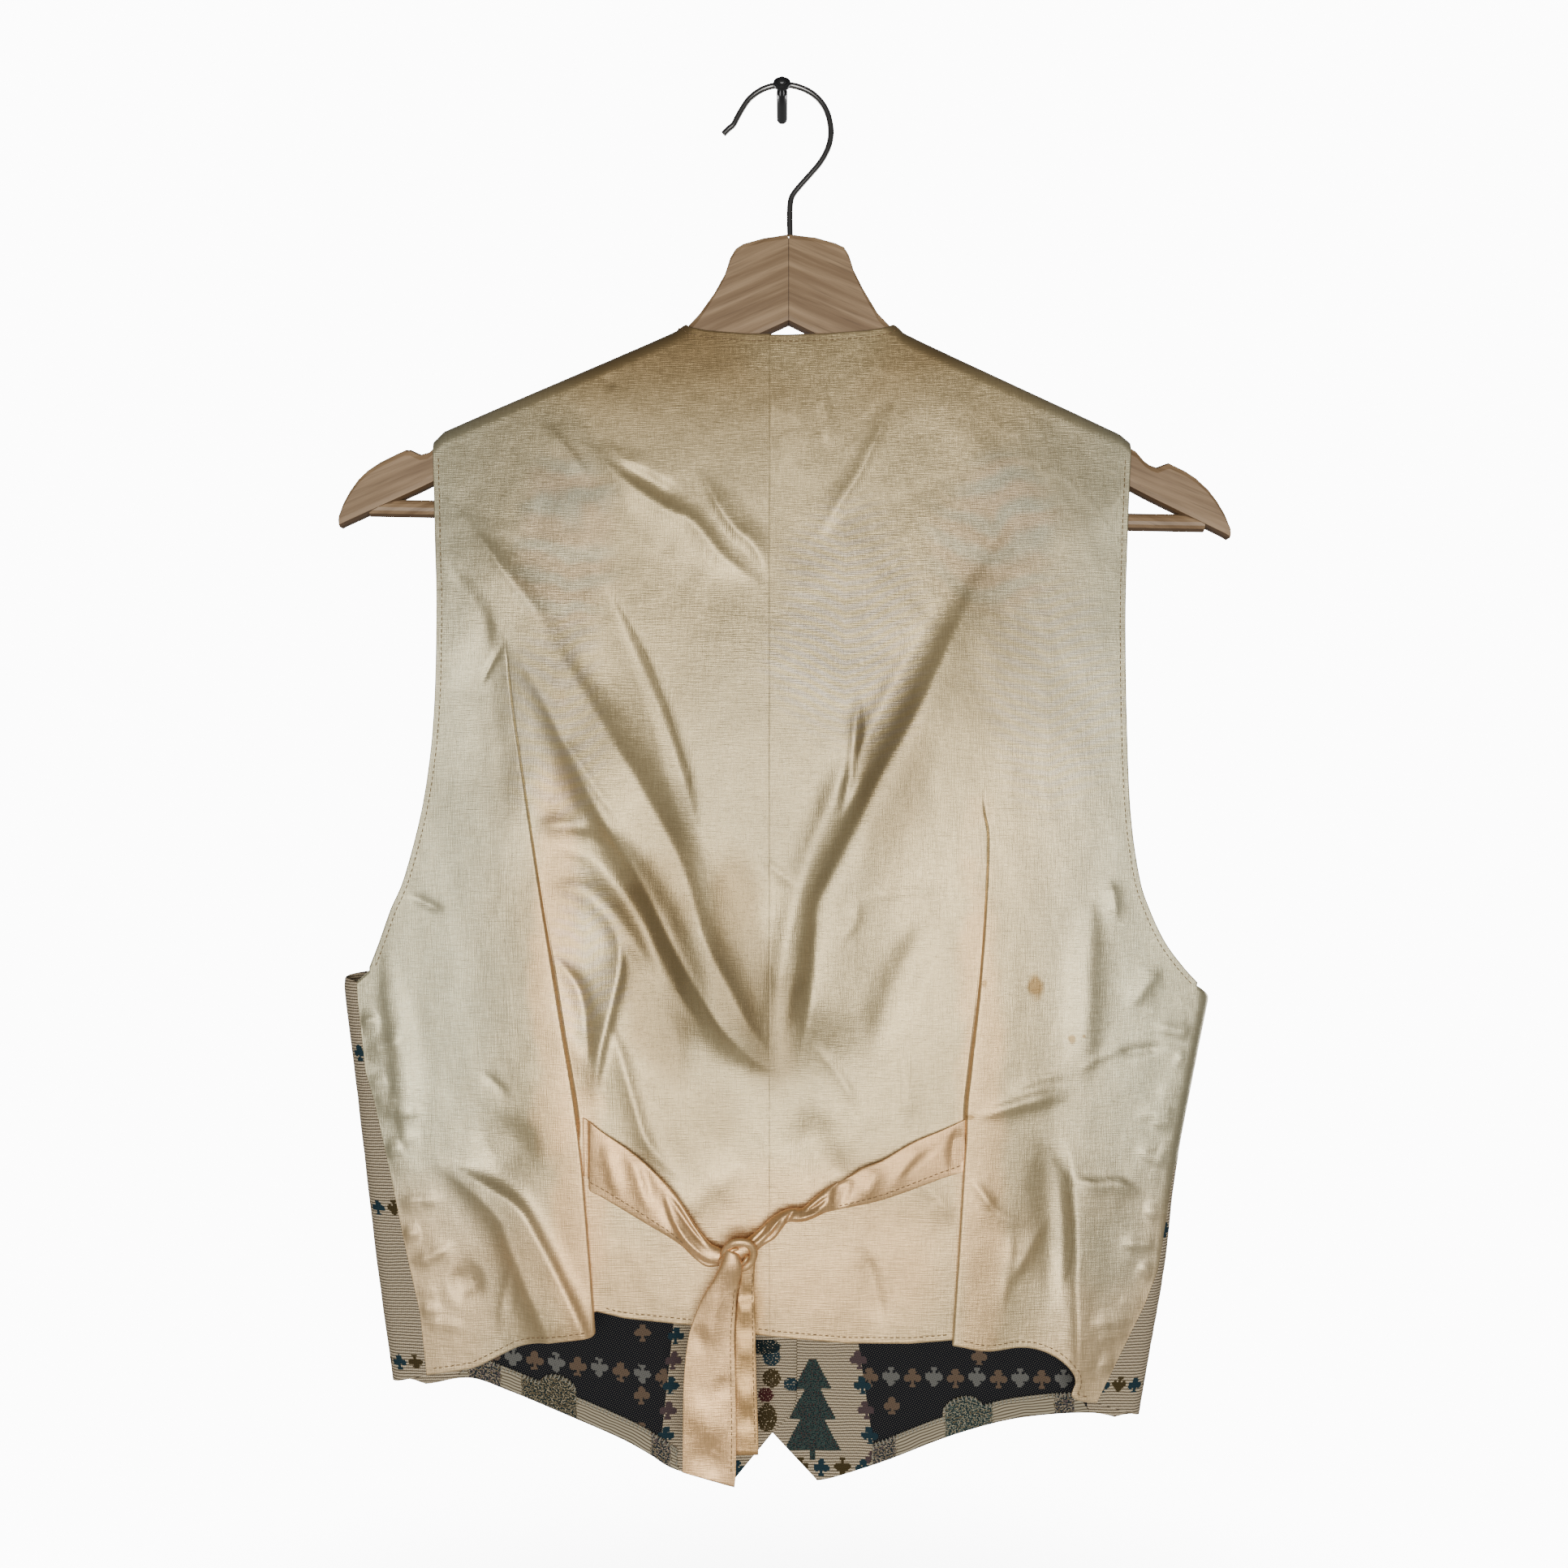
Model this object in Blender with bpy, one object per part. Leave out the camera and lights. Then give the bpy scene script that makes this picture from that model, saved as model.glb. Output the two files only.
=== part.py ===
"""A waistcoat hanging on a wooden hanger, its satin back to the viewer.

Sizes are in millimetres and are turned into metres when a mesh is made. The origin is the underside
of the hook's wire at its apex, +X is the wearer's right, +Y the way the garment faces, +Z up.
Cloth panels are drawn flat, as (across, up) shapes, and then bent: over the hanger's top edge and
round the fold at each side.
"""
import math

import bmesh
import bpy
from mathutils import Vector
import numpy as np

MM = 0.001
LEFT, RIGHT = -1, 1

# Cloth
SATIN_WALL = 1.0
TAPESTRY_WALL = 1.4
FACING_WALL = 1.0
SEAM_GAP = 0.3
BEND = 7.0                      # radius of the cloth's middle over the hanger and round the sides
QUARTER = BEND * math.pi / 2
SEAM_PAST_TOP = 0.15            # radians that the shoulder seam lies in front of the top
CENTRE_BACK_X = -7.2
BACK_BULGE = 3.6
FRONT_BULGE = 7.0
BULGE_TOP, BULGE_FULL = -170.0, -330.0
LAP_STEP = 1.1                  # half of the step between the two fronts where they lap
LAP_HALF, LAP_BLEND = 24.0, 40.0            # half width of the lap, and where its step has gone
LAP_FADE = 60.0                 # height over which the step grows below the neck

# The dart's pleat: an S of three layers
PLEAT_R = 0.8                   # radius of each turn
PLEAT_STEP = 4 * PLEAT_R
PLEAT_WIDTH = 9.0
PLEAT_FADE = 46.0
TIE_TOP, TIE_FOOT, HEM_LEVEL = -508.0, -539.0, -612.0

# Ridge of the cloth over the hanger, from the middle outwards: (x, z)
NECK_POINT_X = {LEFT: -51.0, RIGHT: 56.5}
RIDGE = {
    LEFT: ((2, -73), (-24, -81), (-34, -102), (-42, -111.5), (NECK_POINT_X[LEFT], -119.4),
           (-66, -127), (-168, -171), (-173, -176)),
    RIGHT: ((2, -73), (30, -80), (39, -100), (46, -111), (NECK_POINT_X[RIGHT], -119.4),
            (68, -126.6), (166, -172.3), (171, -176.5)),
}
# Outline of the side fold below the armhole: (z, x)
SIDE_FOLD = {
    LEFT: ((-441, -217), (-450, -217), (-488, -212.3), (-537, -206.6), (-585, -200.9),
           (-646, -192.5)),
    RIGHT: ((-452, 210), (-488, 202.8), (-537, 193.7), (-585, 188), (-633, 179.6), (-663, 174.5)),
}
# How far round from the fold's outermost line, towards the back, the side seam runs: (z, inset)
SEAM_INSET = {
    LEFT: ((-441, 11.2), (-487, 10.4), (-501, 13.0), (-534, 16.6), (-581, 20.9), (-605, 23.2),
           (-636, 22.2)),
    RIGHT: ((-451, -1.5), (-488, -1.5), (-528, 0.0), (-537, 5.0), (-584, 8.1), (-602, 11.9),
            (-614, 16.3), (-628, 21.4), (-650, 29.8)),
}
SEAM_TOP = {LEFT: -441.0, RIGHT: -451.0}
SEAM_FOOT = {LEFT: -635.8, RIGHT: -649.4}
# Armhole edges: (x, z), shoulder to underarm
BACK_ARMHOLE = {
    LEFT: ((-171.5, -224), (-170.6, -256), (-171.2, -295), (-173.3, -327), (-178.1, -359),
           (-186.4, -391), (-193.2, -407), (-198.8, -422.7), (-203.8, -435.5)),
    RIGHT: ((168.9, -224), (167.7, -264), (168.1, -311), (170.1, -359), (174.5, -391),
            (179.6, -407), (187.2, -423), (196, -435), (203.3, -443)),
}
FRONT_ARMHOLE = {
    LEFT: ((-166, -224), (-161, -265), (-159, -310), (-163, -350), (-172, -385), (-186, -413),
           (-204, -437)),
    RIGHT: ((163, -224), (158, -265), (156, -310), (160, -350), (169, -385), (181, -416),
            (196, -440)),
}
# Dart lines, carried on straight up to the shoulder: (x, z)
DART = {
    LEFT: ((-140, -158.5), (-136.5, -275.6), (-125.4, -359), (-109.5, -458), (-101.6, -506),
           (-99, -540), (-93.2, -615.2)),
    RIGHT: ((110, -147.5), (104, -250), (98, -346), (100, -370), (99.2, -398.6), (95.6, -444.3),
            (90.9, -486), (88.9, -506), (88.6, -537), (83.3, -619.9)),
}
DART_TOP = {LEFT: -276.0, RIGHT: -347.0}
HEM_RISE = {LEFT: 11.4, RIGHT: 2.0}         # centre panel's hem above the side panel's, at the pleat
BACK_NECK = {LEFT: ((-18, -124.0), (-38, -122.4), (-46, -120.8)),
             RIGHT: ((1.6, -124.4), (21.5, -123.8), (41.4, -122.3), (51.5, -120.6))}
CENTRE_HEM = {
    LEFT: ((CENTRE_BACK_X, -615.8), (-46.3, -610.4), (-79.2, -607.1), (-93.2, -603.8)),
    RIGHT: ((CENTRE_BACK_X, -615.8), (31.3, -619.2), (62.6, -619.4), (83.3, -617.9)),
}
SIDE_HEM = {
    LEFT: ((-93.2, -615.2), (-114, -617.7), (-128.4, -620.5), (-138, -625), (-150, -631),
           (-156.4, -632.8), (-175.4, -635.8)),
    RIGHT: ((83.3, -619.9), (99.8, -622.8), (114.8, -621.5), (124.8, -622.4), (135, -626),
            (140, -634), (144.5, -643), (151.2, -649.4)),
}
# Fronts: neck edge and cutaway down to the point, then the hem out to the side fold: (x, z)
FRONT_EDGE = {
    LEFT: ((-46, -160), (-30, -250), (-4, -330), (6, -356), (6.1, -655), (3.5, -663),
           (-3.7, -669.3), (-27, -697.6)),
    RIGHT: ((50, -160), (30, -250), (-2, -330), (-16, -356), (-16, -655), (-14, -664),
            (-6.5, -672), (17, -697)),
}
FRONT_HEM = {
    LEFT: ((-27, -697.6), (-54.5, -691), (-68, -683), (-83, -674.7), (-117, -659.5),
           (-138.4, -650.1), (-158, -643), (-178.5, -645.5), (-186, -643)),
    RIGHT: ((17, -697), (25.8, -695.1), (50, -687), (81, -674.7), (107.3, -666.5),
            (128.6, -662.4), (153.2, -660.3), (165, -661.6), (168, -661)),
}
# Largest folds of the back as raised (+) or sunk (-) strokes: height, width on the near side of the
# stroke, width on its far side, then the stroke's points (x, z)
FOLDS = (
    (4.6, 16, 9, ((-167, -205), (-145, -256), (-106, -322), (-78, -376), (-55, -421), (-34, -459),
                  (-8, -487))),
    (-3.4, 14, 12, ((-74, -300), (-52, -348), (-36, -392), (-22, -440))),
    (-2.6, 16, 16, ((-122, -372), (-84, -404), (-52, -462))),
    (3.4, 9, 22, ((111, -221), (82, -273), (52, -331), (29, -375), (15, -412), (10, -462),
                  (8, -492))),
    (-2.8, 12, 10, ((96, -236), (66, -290), (38, -340), (14, -385), (4, -420))),
    (2.4, 12, 12, ((-107, -176), (-63, -207), (-34, -230), (-9, -248))),
    (3.0, 10, 16, ((-170, -530), (-142, -552), (-126, -580), (-112, -614))),
    (-2.4, 12, 12, ((-150, -512), (-122, -538))),
    (-2.6, 8, 10, ((128, -505), (138, -548), (141, -592), (140, -634))),
    (2.0, 10, 10, ((104, -508), (126, -498), (150, -494))),
)
FOLD_END, FOLD_END_SHARE = 30.0, 0.15       # length over which a fold dies out, what is left at its end
FOLD_MARGIN = 30.0              # folds die out this far in from the side
FLAT_ABOVE, CALM_HEIGHT = -152.0, 30.0      # and up to this height, over this length

# Tie bands: x and z of the upper and lower edge, lift off the back, thickness
TIE_BAND = {
    LEFT: ((-98.0, -510, -97.0, -537.6, 0.0, 1.4), (-93, -512, -91, -540.5, 0.6, 1.4),
           (-80.5, -520, -80.5, -551, 2.0, 1.4), (-71, -527.4, -71, -557, 3.2, 1.6),
           (-62.8, -534.5, -61.2, -561.5, 4.4, 2.2), (-56.4, -541, -51.6, -567, 5.2, 3.0),
           (-48.3, -552.3, -44.3, -573, 5.8, 4.0), (-38.2, -564.6, -37.0, -577.0, 6.2, 4.6),
           (-33.0, -568.2, -33.0, -576.0, 6.2, 4.6)),
    RIGHT: ((86.6, -509.5, 86.4, -534.6, 0.0, 1.4), (75.2, -517.6, 75, -537.8, 0.8, 1.4),
            (63.7, -523.5, 63.8, -540.1, 1.8, 1.6), (52, -527.8, 51, -545.2, 2.8, 1.8),
            (35.9, -532.2, 35, -549.5, 3.8, 2.4), (20.7, -540.2, 18, -554.5, 4.6, 4.2),
            (9.7, -549.6, 7.5, -557.4, 5.2, 6.4), (1.6, -550.6, 1.0, -558.2, 5.6, 6.6),
            (-5.4, -554.2, -3.4, -562.6, 5.8, 6.6), (-11.6, -561.4, -8.6, -567.4, 6.0, 6.0),
            (-14.2, -565.0, -12.4, -569.4, 6.0, 5.0)),
}
# Section of a flat band: share of the way across it, side of it
BAND_SECTION = ((0.0, 0.0), (0.12, 1.0), (0.5, 1.0), (0.88, 1.0), (1.0, 0.0), (0.88, -1.0),
                (0.5, -1.0), (0.12, -1.0))
KNOT_CENTRE = (-22.6, 21.6, -571.0)         # depth is counted towards the viewer
KNOT_HALF = (10.5, 6.2, 7.6)
KNOT_LEAN, KNOT_SKEW = 0.35, 0.5            # radians that it leans, and how far its ends shear
KNOT_POWER = 0.8                            # below 1, its ends are blunter than an egg's
KNOT_WRAP, KNOT_WRAP_WIDTH = 0.14, 0.13     # the turn of band round its middle
KNOT_RINGS, KNOT_SIDES = 11, 14
# Tie tails: z, left x, right x, depth
TAIL_FRONT = ((-579.0, -31.5, -23.2, 23.0), (-590, -38.0, -22.4, 22.4), (-602, -43.3, -22.8, 21.6),
              (-613.6, -46.3, -23.9, 21.4), (-633, -48.4, -23.5, 21.6), (-657, -48.9, -23.0, 21.8),
              (-676, -49.0, -23.3, 21.8))
TAIL_FRONT_TIP = ((-49.0, -677.4), (-30.0, -684.6), (-23.9, -684.9))
TAIL_REAR = ((-579.1, -21.2, -13.6, 19.0), (-590, -21.6, -14.6, 18.4), (-603, -22.4, -14.2, 18.0),
             (-634, -23.4, -13.6, 17.8), (-658, -23.8, -12.6, 17.8), (-671, -23.6, -12.4, 17.8))
TAIL_WALL = 1.4

# Buttons on the hidden front
BUTTON_X, BUTTON_TOP_Z, BUTTON_PITCH, BUTTON_COUNT = -5.0, -372.0, 62.0, 5
BUTTON_R, BUTTON_H = 7.5, 2.6
BUTTON_PROFILE = ((0.55, 0.0), (1.0, 0.35), (1.0, 0.8), (0.86, 1.0), (0.7, 0.72))   # shares of both
BUTTON_SIDES = 16

# Hanger
BOARD_HALF = 6.0
BOARD_MOST_ROUND = 0.45         # a corner's radius as a share of the board's height, at most
BOARD_ROUND = ((0, 3.0), (36, 3.0), (44, 5.0), (170, 5.0), (180, 3.4), (221, 3.4))   # |x|, radius
MITRE_X = 2.3
APEX_Z = -117.4
ARM_TOP = {
    LEFT: ((2.3, -73.6), (-10.4, -75.6), (-20.4, -78.4), (-24, -80.8), (-26.6, -85.2),
           (-29.2, -93.2), (-34.4, -102.6), (-41.6, -112.2), (-51.2, -122.4), (-66.4, -130.6),
           (-103.5, -146.6), (-168, -174.6), (-173, -178.6), (-175.7, -181.2), (-179.4, -182.4),
           (-184.3, -180.2), (-187.1, -180.2), (-191.6, -182.2), (-199.9, -186.3), (-205.9, -190.3),
           (-210, -194.3), (-214, -199.8), (-217.3, -205.9), (-219.6, -212.4)),
    RIGHT: ((2.3, -73.6), (15.6, -75.2), (25.6, -78), (29.8, -80), (32.2, -84), (34.4, -91.2),
            (39.2, -100.4), (46.4, -112), (56.4, -122.4), (68, -130.2), (100.3, -146.4),
            (166, -175.6), (174.1, -180.6), (178, -185.4), (181, -187.7), (184.1, -188.8),
            (188.4, -187.1), (190.1, -186.6), (198.4, -190.6), (203.6, -194), (209.2, -199.2),
            (213.6, -204.9), (217.4, -211.3), (220.2, -218.8)),
}
ARM_FOOT_SLOPE = {LEFT: 0.455, RIGHT: 0.489}
ARM_STEP = 14.0                 # longest stretch of board between two sections
BAR_R = 4.4
BAR_ENDS = ((-205.0, -208.5), (208.0, -216.2))
SOCKET_EXTRA = 0.3
ROD_SIDES = 16
WIRE_R = 1.45
HOOK_POINTS = ((3, -73.3), (2.8, -63.5), (3.2, -56.7), (4.6, -52.8), (8.1, -48.4), (12.9, -43),
               (17.8, -37.2), (21.2, -31.3), (23, -25.5), (23.2, -19.6), (21.7, -12.8),
               (18.8, -7.4), (14.4, -3), (9, -0.1), (3.2, 1.4), (-2.7, 1.4), (-7.6, 0.5),
               (-12.4, -1.6), (-17.3, -5.5), (-20.7, -10.3), (-23.2, -14.7), (-25.1, -18.2),
               (-27.6, -20.4), (-30, -22.8))
# Wall peg: y, centre z, half width, half height, from its tip to the wall
PEG_X = -1.0
PEG_RINGS = ((-9.0, 0.2, 1.9, 1.9), (-7.0, 0.2, 2.1, 2.1), (-6.6, 0.2, 4.2, 2.7),
             (-4.6, 0.2, 4.45, 3.0), (-2.4, 0.2, 4.2, 2.7), (-2.2, -1.5, 1.2, 1.2),
             (3.6, -1.5, 1.2, 1.2), (4.2, -0.3, 2.7, 2.7), (38.0, -0.3, 2.7, 2.7))
PEG_SIDES = 16

# Grid stations: shares down or across a block, and distances in from the side seam at the underarm
WRAP_ROWS = (0.0, 0.011, 0.022, 0.033, 0.044, 0.058)
ARMHOLE_ROWS, BODY_ROWS = 13, 12
FACING_DEPTH = 0.95
UNDERARM, FRONT_UNDERARM = 0.61, 0.59
NECK_COLUMNS = (0.0, 0.45, 0.84, 0.89, 0.95, 1.0)      # shares of the way out to the neck point
CENTRE_COLUMNS = (0.28, 0.52, 0.76, 1.0)               # shares of the way on to the dart
SIDE_COLUMNS = (1.0, 0.86, 0.65, 0.45)
SIDE_SEAM_COLUMNS = {LEFT: (22.0, 12.0, 6.0, 0.0), RIGHT: (24.0, 16.0, 12.0, 8.0, 4.0, 0.0)}
SIDE_EXTRA = {LEFT: 1, RIGHT: 3}
FRONT_COLUMNS = (0.0, 0.22, 0.44, 0.64, 0.82)
FRONT_SEAM_COLUMNS = (44.0, 40.0, 36.0, 32.0, 28.0, 24.0, 20.0, 16.0, 12.0, 8.0, 4.0, 0.0)
FRONT_EXTRA = {LEFT: 7, RIGHT: 4}
FACING_COLUMNS = 6
DART_CLEAR = 2.5                # where the dart's own columns begin, either side of its line
PLEAT_START = 1.4
SLOPE_FADE = 0.1
PROBE = 0.4                     # step with which a normal is measured

COLOURS = {
    "satin": ((0.66, 0.60, 0.46), 0.32, 0.0),
    "satin_tie": ((0.80, 0.62, 0.45), 0.34, 0.0),
    "tapestry": ((0.50, 0.46, 0.38), 0.9, 0.0),
    "facing": ((0.55, 0.50, 0.40), 0.9, 0.0),
    "wood": ((0.42, 0.29, 0.18), 0.5, 0.0),
    "steel": ((0.6, 0.6, 0.6), 0.25, 1.0),
    "peg_black": ((0.02, 0.02, 0.02), 0.4, 0.0),
    "button": ((0.16, 0.13, 0.10), 0.4, 0.0),
}


def material(name):
    found = bpy.data.materials.get(name)
    if found:
        return found
    colour, roughness, metallic = COLOURS[name]
    made = bpy.data.materials.new(name)
    made.use_nodes = True
    shader = made.node_tree.nodes["Principled BSDF"]
    shader.inputs["Base Color"].default_value = (*colour, 1.0)
    shader.inputs["Roughness"].default_value = roughness
    shader.inputs["Metallic"].default_value = metallic
    return made


def add_object(name, material_name, points, faces, smooth=True):
    mesh = bpy.data.meshes.new(name)
    mesh.from_pydata([[c * MM for c in point] for point in points], [], faces)
    mesh.materials.append(material(material_name))
    body = bmesh.new()
    body.from_mesh(mesh)
    bmesh.ops.recalc_face_normals(body, faces=body.faces)
    body.to_mesh(mesh)
    body.free()
    if smooth:
        mesh.shade_smooth()
    made = bpy.data.objects.new(name, mesh)
    bpy.context.scene.collection.objects.link(made)
    return made


def smooth_step(value):
    value = min(max(value, 0.0), 1.0)
    return value * value * (3 - 2 * value)


def table_at(rows, key, key_column=0, value_column=1):
    """Value at a key, read between a table's rows in whichever order they run."""
    ordered = sorted((row[key_column], row[value_column]) for row in rows)
    return float(np.interp(key, [row[0] for row in ordered], [row[1] for row in ordered]))


def along(points, share):
    """Point at a share of a polyline's length."""
    points = np.array(points, float)
    steps = np.linalg.norm(np.diff(points, axis=0), axis=1)
    reached = np.concatenate(([0.0], np.cumsum(steps)))
    at = share * reached[-1]
    return np.array([np.interp(at, reached, points[:, 0]), np.interp(at, reached, points[:, 1])])


def ridge_z(side, x):
    return table_at(RIDGE[side], x)


def fold_x(side, z):
    """Outermost x of the side fold, without its sign."""
    return abs(table_at(SIDE_FOLD[side], z))


def stroke_height(x, z, stroke):
    """Height that one fold adds at a point: full along its line, dying out across it and at its ends."""
    height, near_width, far_width, line = stroke
    best = None
    run = 0.0
    total = sum(math.dist(a, b) for a, b in zip(line, line[1:]))
    for (ax, az), (bx, bz) in zip(line, line[1:]):
        dx, dz = bx - ax, bz - az
        length = math.hypot(dx, dz)
        share = min(max(((x - ax) * dx + (z - az) * dz) / length ** 2, 0.0), 1.0)
        px, pz = x - (ax + share * dx), z - (az + share * dz)
        away = math.hypot(px, pz)
        if best is None or away < best[0]:
            best = (away, dx * pz - dz * px, run + share * length)
        run += length
    away, turn, at = best
    width = near_width if turn > 0 else far_width
    ends = (smooth_step(at / FOLD_END + FOLD_END_SHARE)
            * smooth_step((total - at) / FOLD_END + FOLD_END_SHARE))
    return height * ends * math.exp(-(away / width) ** 2)


def bulge_share(side, x, z):
    """0 at the hanger and at the side folds, 1 over most of the body."""
    down = smooth_step((BULGE_TOP - z) / (BULGE_TOP - BULGE_FULL))
    out = min(abs(x) / (fold_x(side, z) - BEND), 1.0)
    return down * (1 - out ** 3)


def dart_x(side, z):
    return table_at(DART[side], z, 1, 0)


def pleat_step(side, z):
    return PLEAT_STEP * smooth_step((DART_TOP[side] - z) / (DART_TOP[side] - TIE_TOP))


def back_depth(side, x, z, on_side_panel):
    """How far the middle of the back's cloth lies behind the hanger's middle plane."""
    free = smooth_step((fold_x(side, z) - BEND - abs(x)) / FOLD_MARGIN)
    free *= smooth_step((FLAT_ABOVE - z) / CALM_HEIGHT)
    depth = BEND + BACK_BULGE * bulge_share(side, x, z)
    depth += free * sum(stroke_height(x, z, stroke) for stroke in FOLDS)
    if on_side_panel:
        past = (x - dart_x(side, z)) * side
        depth += pleat_step(side, z) * (1 - smooth_step(past / PLEAT_FADE))
    return depth


def front_depth(side, x, z):
    lap = LAP_STEP * side * (1 - smooth_step((abs(x) - LAP_HALF) / LAP_BLEND))
    lap *= smooth_step((BULGE_TOP - z) / LAP_FADE)
    return BEND + FRONT_BULGE * bulge_share(side, x, z) + lap


def bend_round_side(side, across, z, depth):
    """(x, y) of a point that lies `across` along the cloth from the middle, then round the fold."""
    flat_end = fold_x(side, z) - BEND
    if across <= flat_end:
        return side * across, depth(side * across)
    angle = (across - flat_end) / BEND
    if angle <= math.pi:
        return side * (flat_end + BEND * math.sin(angle)), BEND * math.cos(angle)
    x = side * (flat_end - (across - flat_end - math.pi * BEND))
    return x, None


def bend_over_top(side, x, up):
    """(z, share of the depth left) of a point `up` the cloth, past the start of the hanger's round."""
    start = ridge_z(side, x) - BEND
    if up <= start:
        return up, 1.0
    angle = (up - start) / BEND
    return start + BEND * math.sin(angle), math.cos(angle)


def back_point(side, across, up, on_side_panel=True, lift=0.0):
    x, y = bend_round_side(side, across, up, lambda at: back_depth(side, at, up, on_side_panel) + lift)
    z, share = bend_over_top(side, x, up)
    return x, -y * share, z


def front_point(side, across, up):
    x, y = bend_round_side(side, across, up, lambda at: front_depth(side, at, up))
    if y is None:
        return x, -back_depth(side, x, up, True), up
    z, share = bend_over_top(side, x, up)
    return x, y * share, z


def seam_across(side, z, front):
    """Distance along the cloth from the middle out to the side seam, on either side of it."""
    outermost = fold_x(side, z) - BEND + QUARTER
    inset = table_at(SEAM_INSET[side], z)
    return outermost + (inset if front else -inset) - SEAM_GAP / 2


def shoulder_up(side, x, front):
    """Height along the cloth of the shoulder seam at x."""
    past = -SEAM_PAST_TOP - SEAM_GAP / BEND if front else SEAM_PAST_TOP
    return ridge_z(side, x) - BEND + QUARTER + past * BEND


def coons(top, foot, inner, outer, u, v):
    """Point of the patch that four edge curves bound."""
    corners = ((1 - u) * (1 - v) * top(0) + u * (1 - v) * top(1)
               + (1 - u) * v * foot(0) + u * v * foot(1))
    return (1 - v) * top(u) + v * foot(u) + (1 - u) * inner(v) + u * outer(v) - corners


def curve_by_x(side, line):
    """Curve through (x, z) points at an even share of x, as (across, up)."""
    first, last = line[0][0], line[-1][0]

    def at(share):
        x = first + share * (last - first)
        return np.array([x * side, table_at(line, x)])
    return at


def part_of(curve, start, end):
    """Stretch of a curve between two shares of it."""
    return lambda share: curve(start + share * (end - start))


def straight(first, last):
    return lambda share: np.array(first) * (1 - share) + np.array(last) * share


def armhole_curve(side, front):
    """Armhole edge from the shoulder to the point where it turns in under the arm."""
    shoulder_x = RIDGE[side][-1][0]
    line = [(abs(shoulder_x), shoulder_up(side, shoulder_x, front))]
    line += [(abs(x), z) for x, z in (FRONT_ARMHOLE if front else BACK_ARMHOLE)[side]]
    return lambda share: along(line, share)


def seam_curve(side, front):
    def at(share):
        z = SEAM_TOP[side] + share * (SEAM_FOOT[side] - SEAM_TOP[side])
        return np.array([seam_across(side, z, front), z])
    return at


def point_and_normal(place, outward, across, up, **options):
    """Point on a bent panel, its normal away from the body, and the direction across the cloth."""
    point = np.array(place(across, up, **options))
    sideways = np.array(place(across + PROBE, up, **options)) - np.array(place(across - PROBE, up, **options))
    upward = np.array(place(across, up + PROBE, **options)) - np.array(place(across, up - PROBE, **options))
    normal = np.cross(sideways, upward) * outward
    return point, normal / np.linalg.norm(normal), sideways / np.linalg.norm(sideways)


def two_blocks(blocks, columns, extra, make):
    """Grid of a panel that is wider below the armhole: the upper block has no extra columns.

    `blocks` holds each block's curves and row shares, `columns` the distances from the side seam at the
    underarm, and `extra` how many of the last columns lie below the armhole only.
    """
    grid = []
    for number, ((top, foot, inner, outer), rows) in enumerate(blocks):
        width = abs(blocks[1][0][0](1)[0] - blocks[1][0][0](0)[0])
        shares = [1 - reach / width for reach in columns]
        if number == 0:
            kept = shares[:len(shares) - extra]
            shares = [share / kept[-1] for share in kept]
        for v in rows:
            row = [make(*coons(top, foot, inner, outer, u, v)) for u in shares]
            grid.append(row + [None] * (len(columns) - len(row)))
    return grid


def shoulder_curve(side, first, last, front):
    """Shoulder seam between two x."""
    def at(share):
        x = first + share * (last - first)
        return np.array([abs(x), shoulder_up(side, x, front)])
    return at


def back_top_curve(side):
    """Neck edge from the centre seam to the neck point, then the shoulder seam as far as the dart's line."""
    neck_x = NECK_POINT_X[side]
    neck = [(CENTRE_BACK_X, BACK_NECK[side][0][1])] + list(BACK_NECK[side])
    neck.append((neck_x, shoulder_up(side, neck_x, False)))
    end_x = DART[side][0][0] - side * DART_CLEAR
    shoulder = shoulder_curve(side, CENTRE_BACK_X, end_x, False)

    def at(share):
        x = CENTRE_BACK_X + share * (end_x - CENTRE_BACK_X)
        if abs(x) >= abs(neck_x):
            return shoulder(share)
        return np.array([x * side, table_at(neck, x)])
    return at


def centre_stations(side):
    """Shares from the centre seam to the dart, close together where the neck climbs over the hanger."""
    neck = (NECK_POINT_X[side] - CENTRE_BACK_X) / (DART[side][0][0] - CENTRE_BACK_X)
    return [neck * share for share in NECK_COLUMNS] + [neck + (1 - neck) * share for share in CENTRE_COLUMNS]


def dart_curve(side):
    line = [(abs(x), z) for x, z in DART[side]]
    line[0] = (line[0][0], shoulder_up(side, DART[side][0][0], False))
    return lambda share: along(line, share)


def beside_dart(side, share, out):
    """Point at a share down the dart and `out` from it, its top end kept on the sloping shoulder."""
    first = DART[side][0][0]
    slope = shoulder_up(side, first + side * out, False) - shoulder_up(side, first, False)
    return dart_curve(side)(share) + np.array([out, slope * (1 - smooth_step(share / SLOPE_FADE))])


def hem_lift(side, z):
    """How much higher the centre panel's rows lie than the side panel's, next to the open pleat."""
    return HEM_RISE[side] * smooth_step((TIE_FOOT - z) / (TIE_FOOT - HEM_LEVEL))


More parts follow.
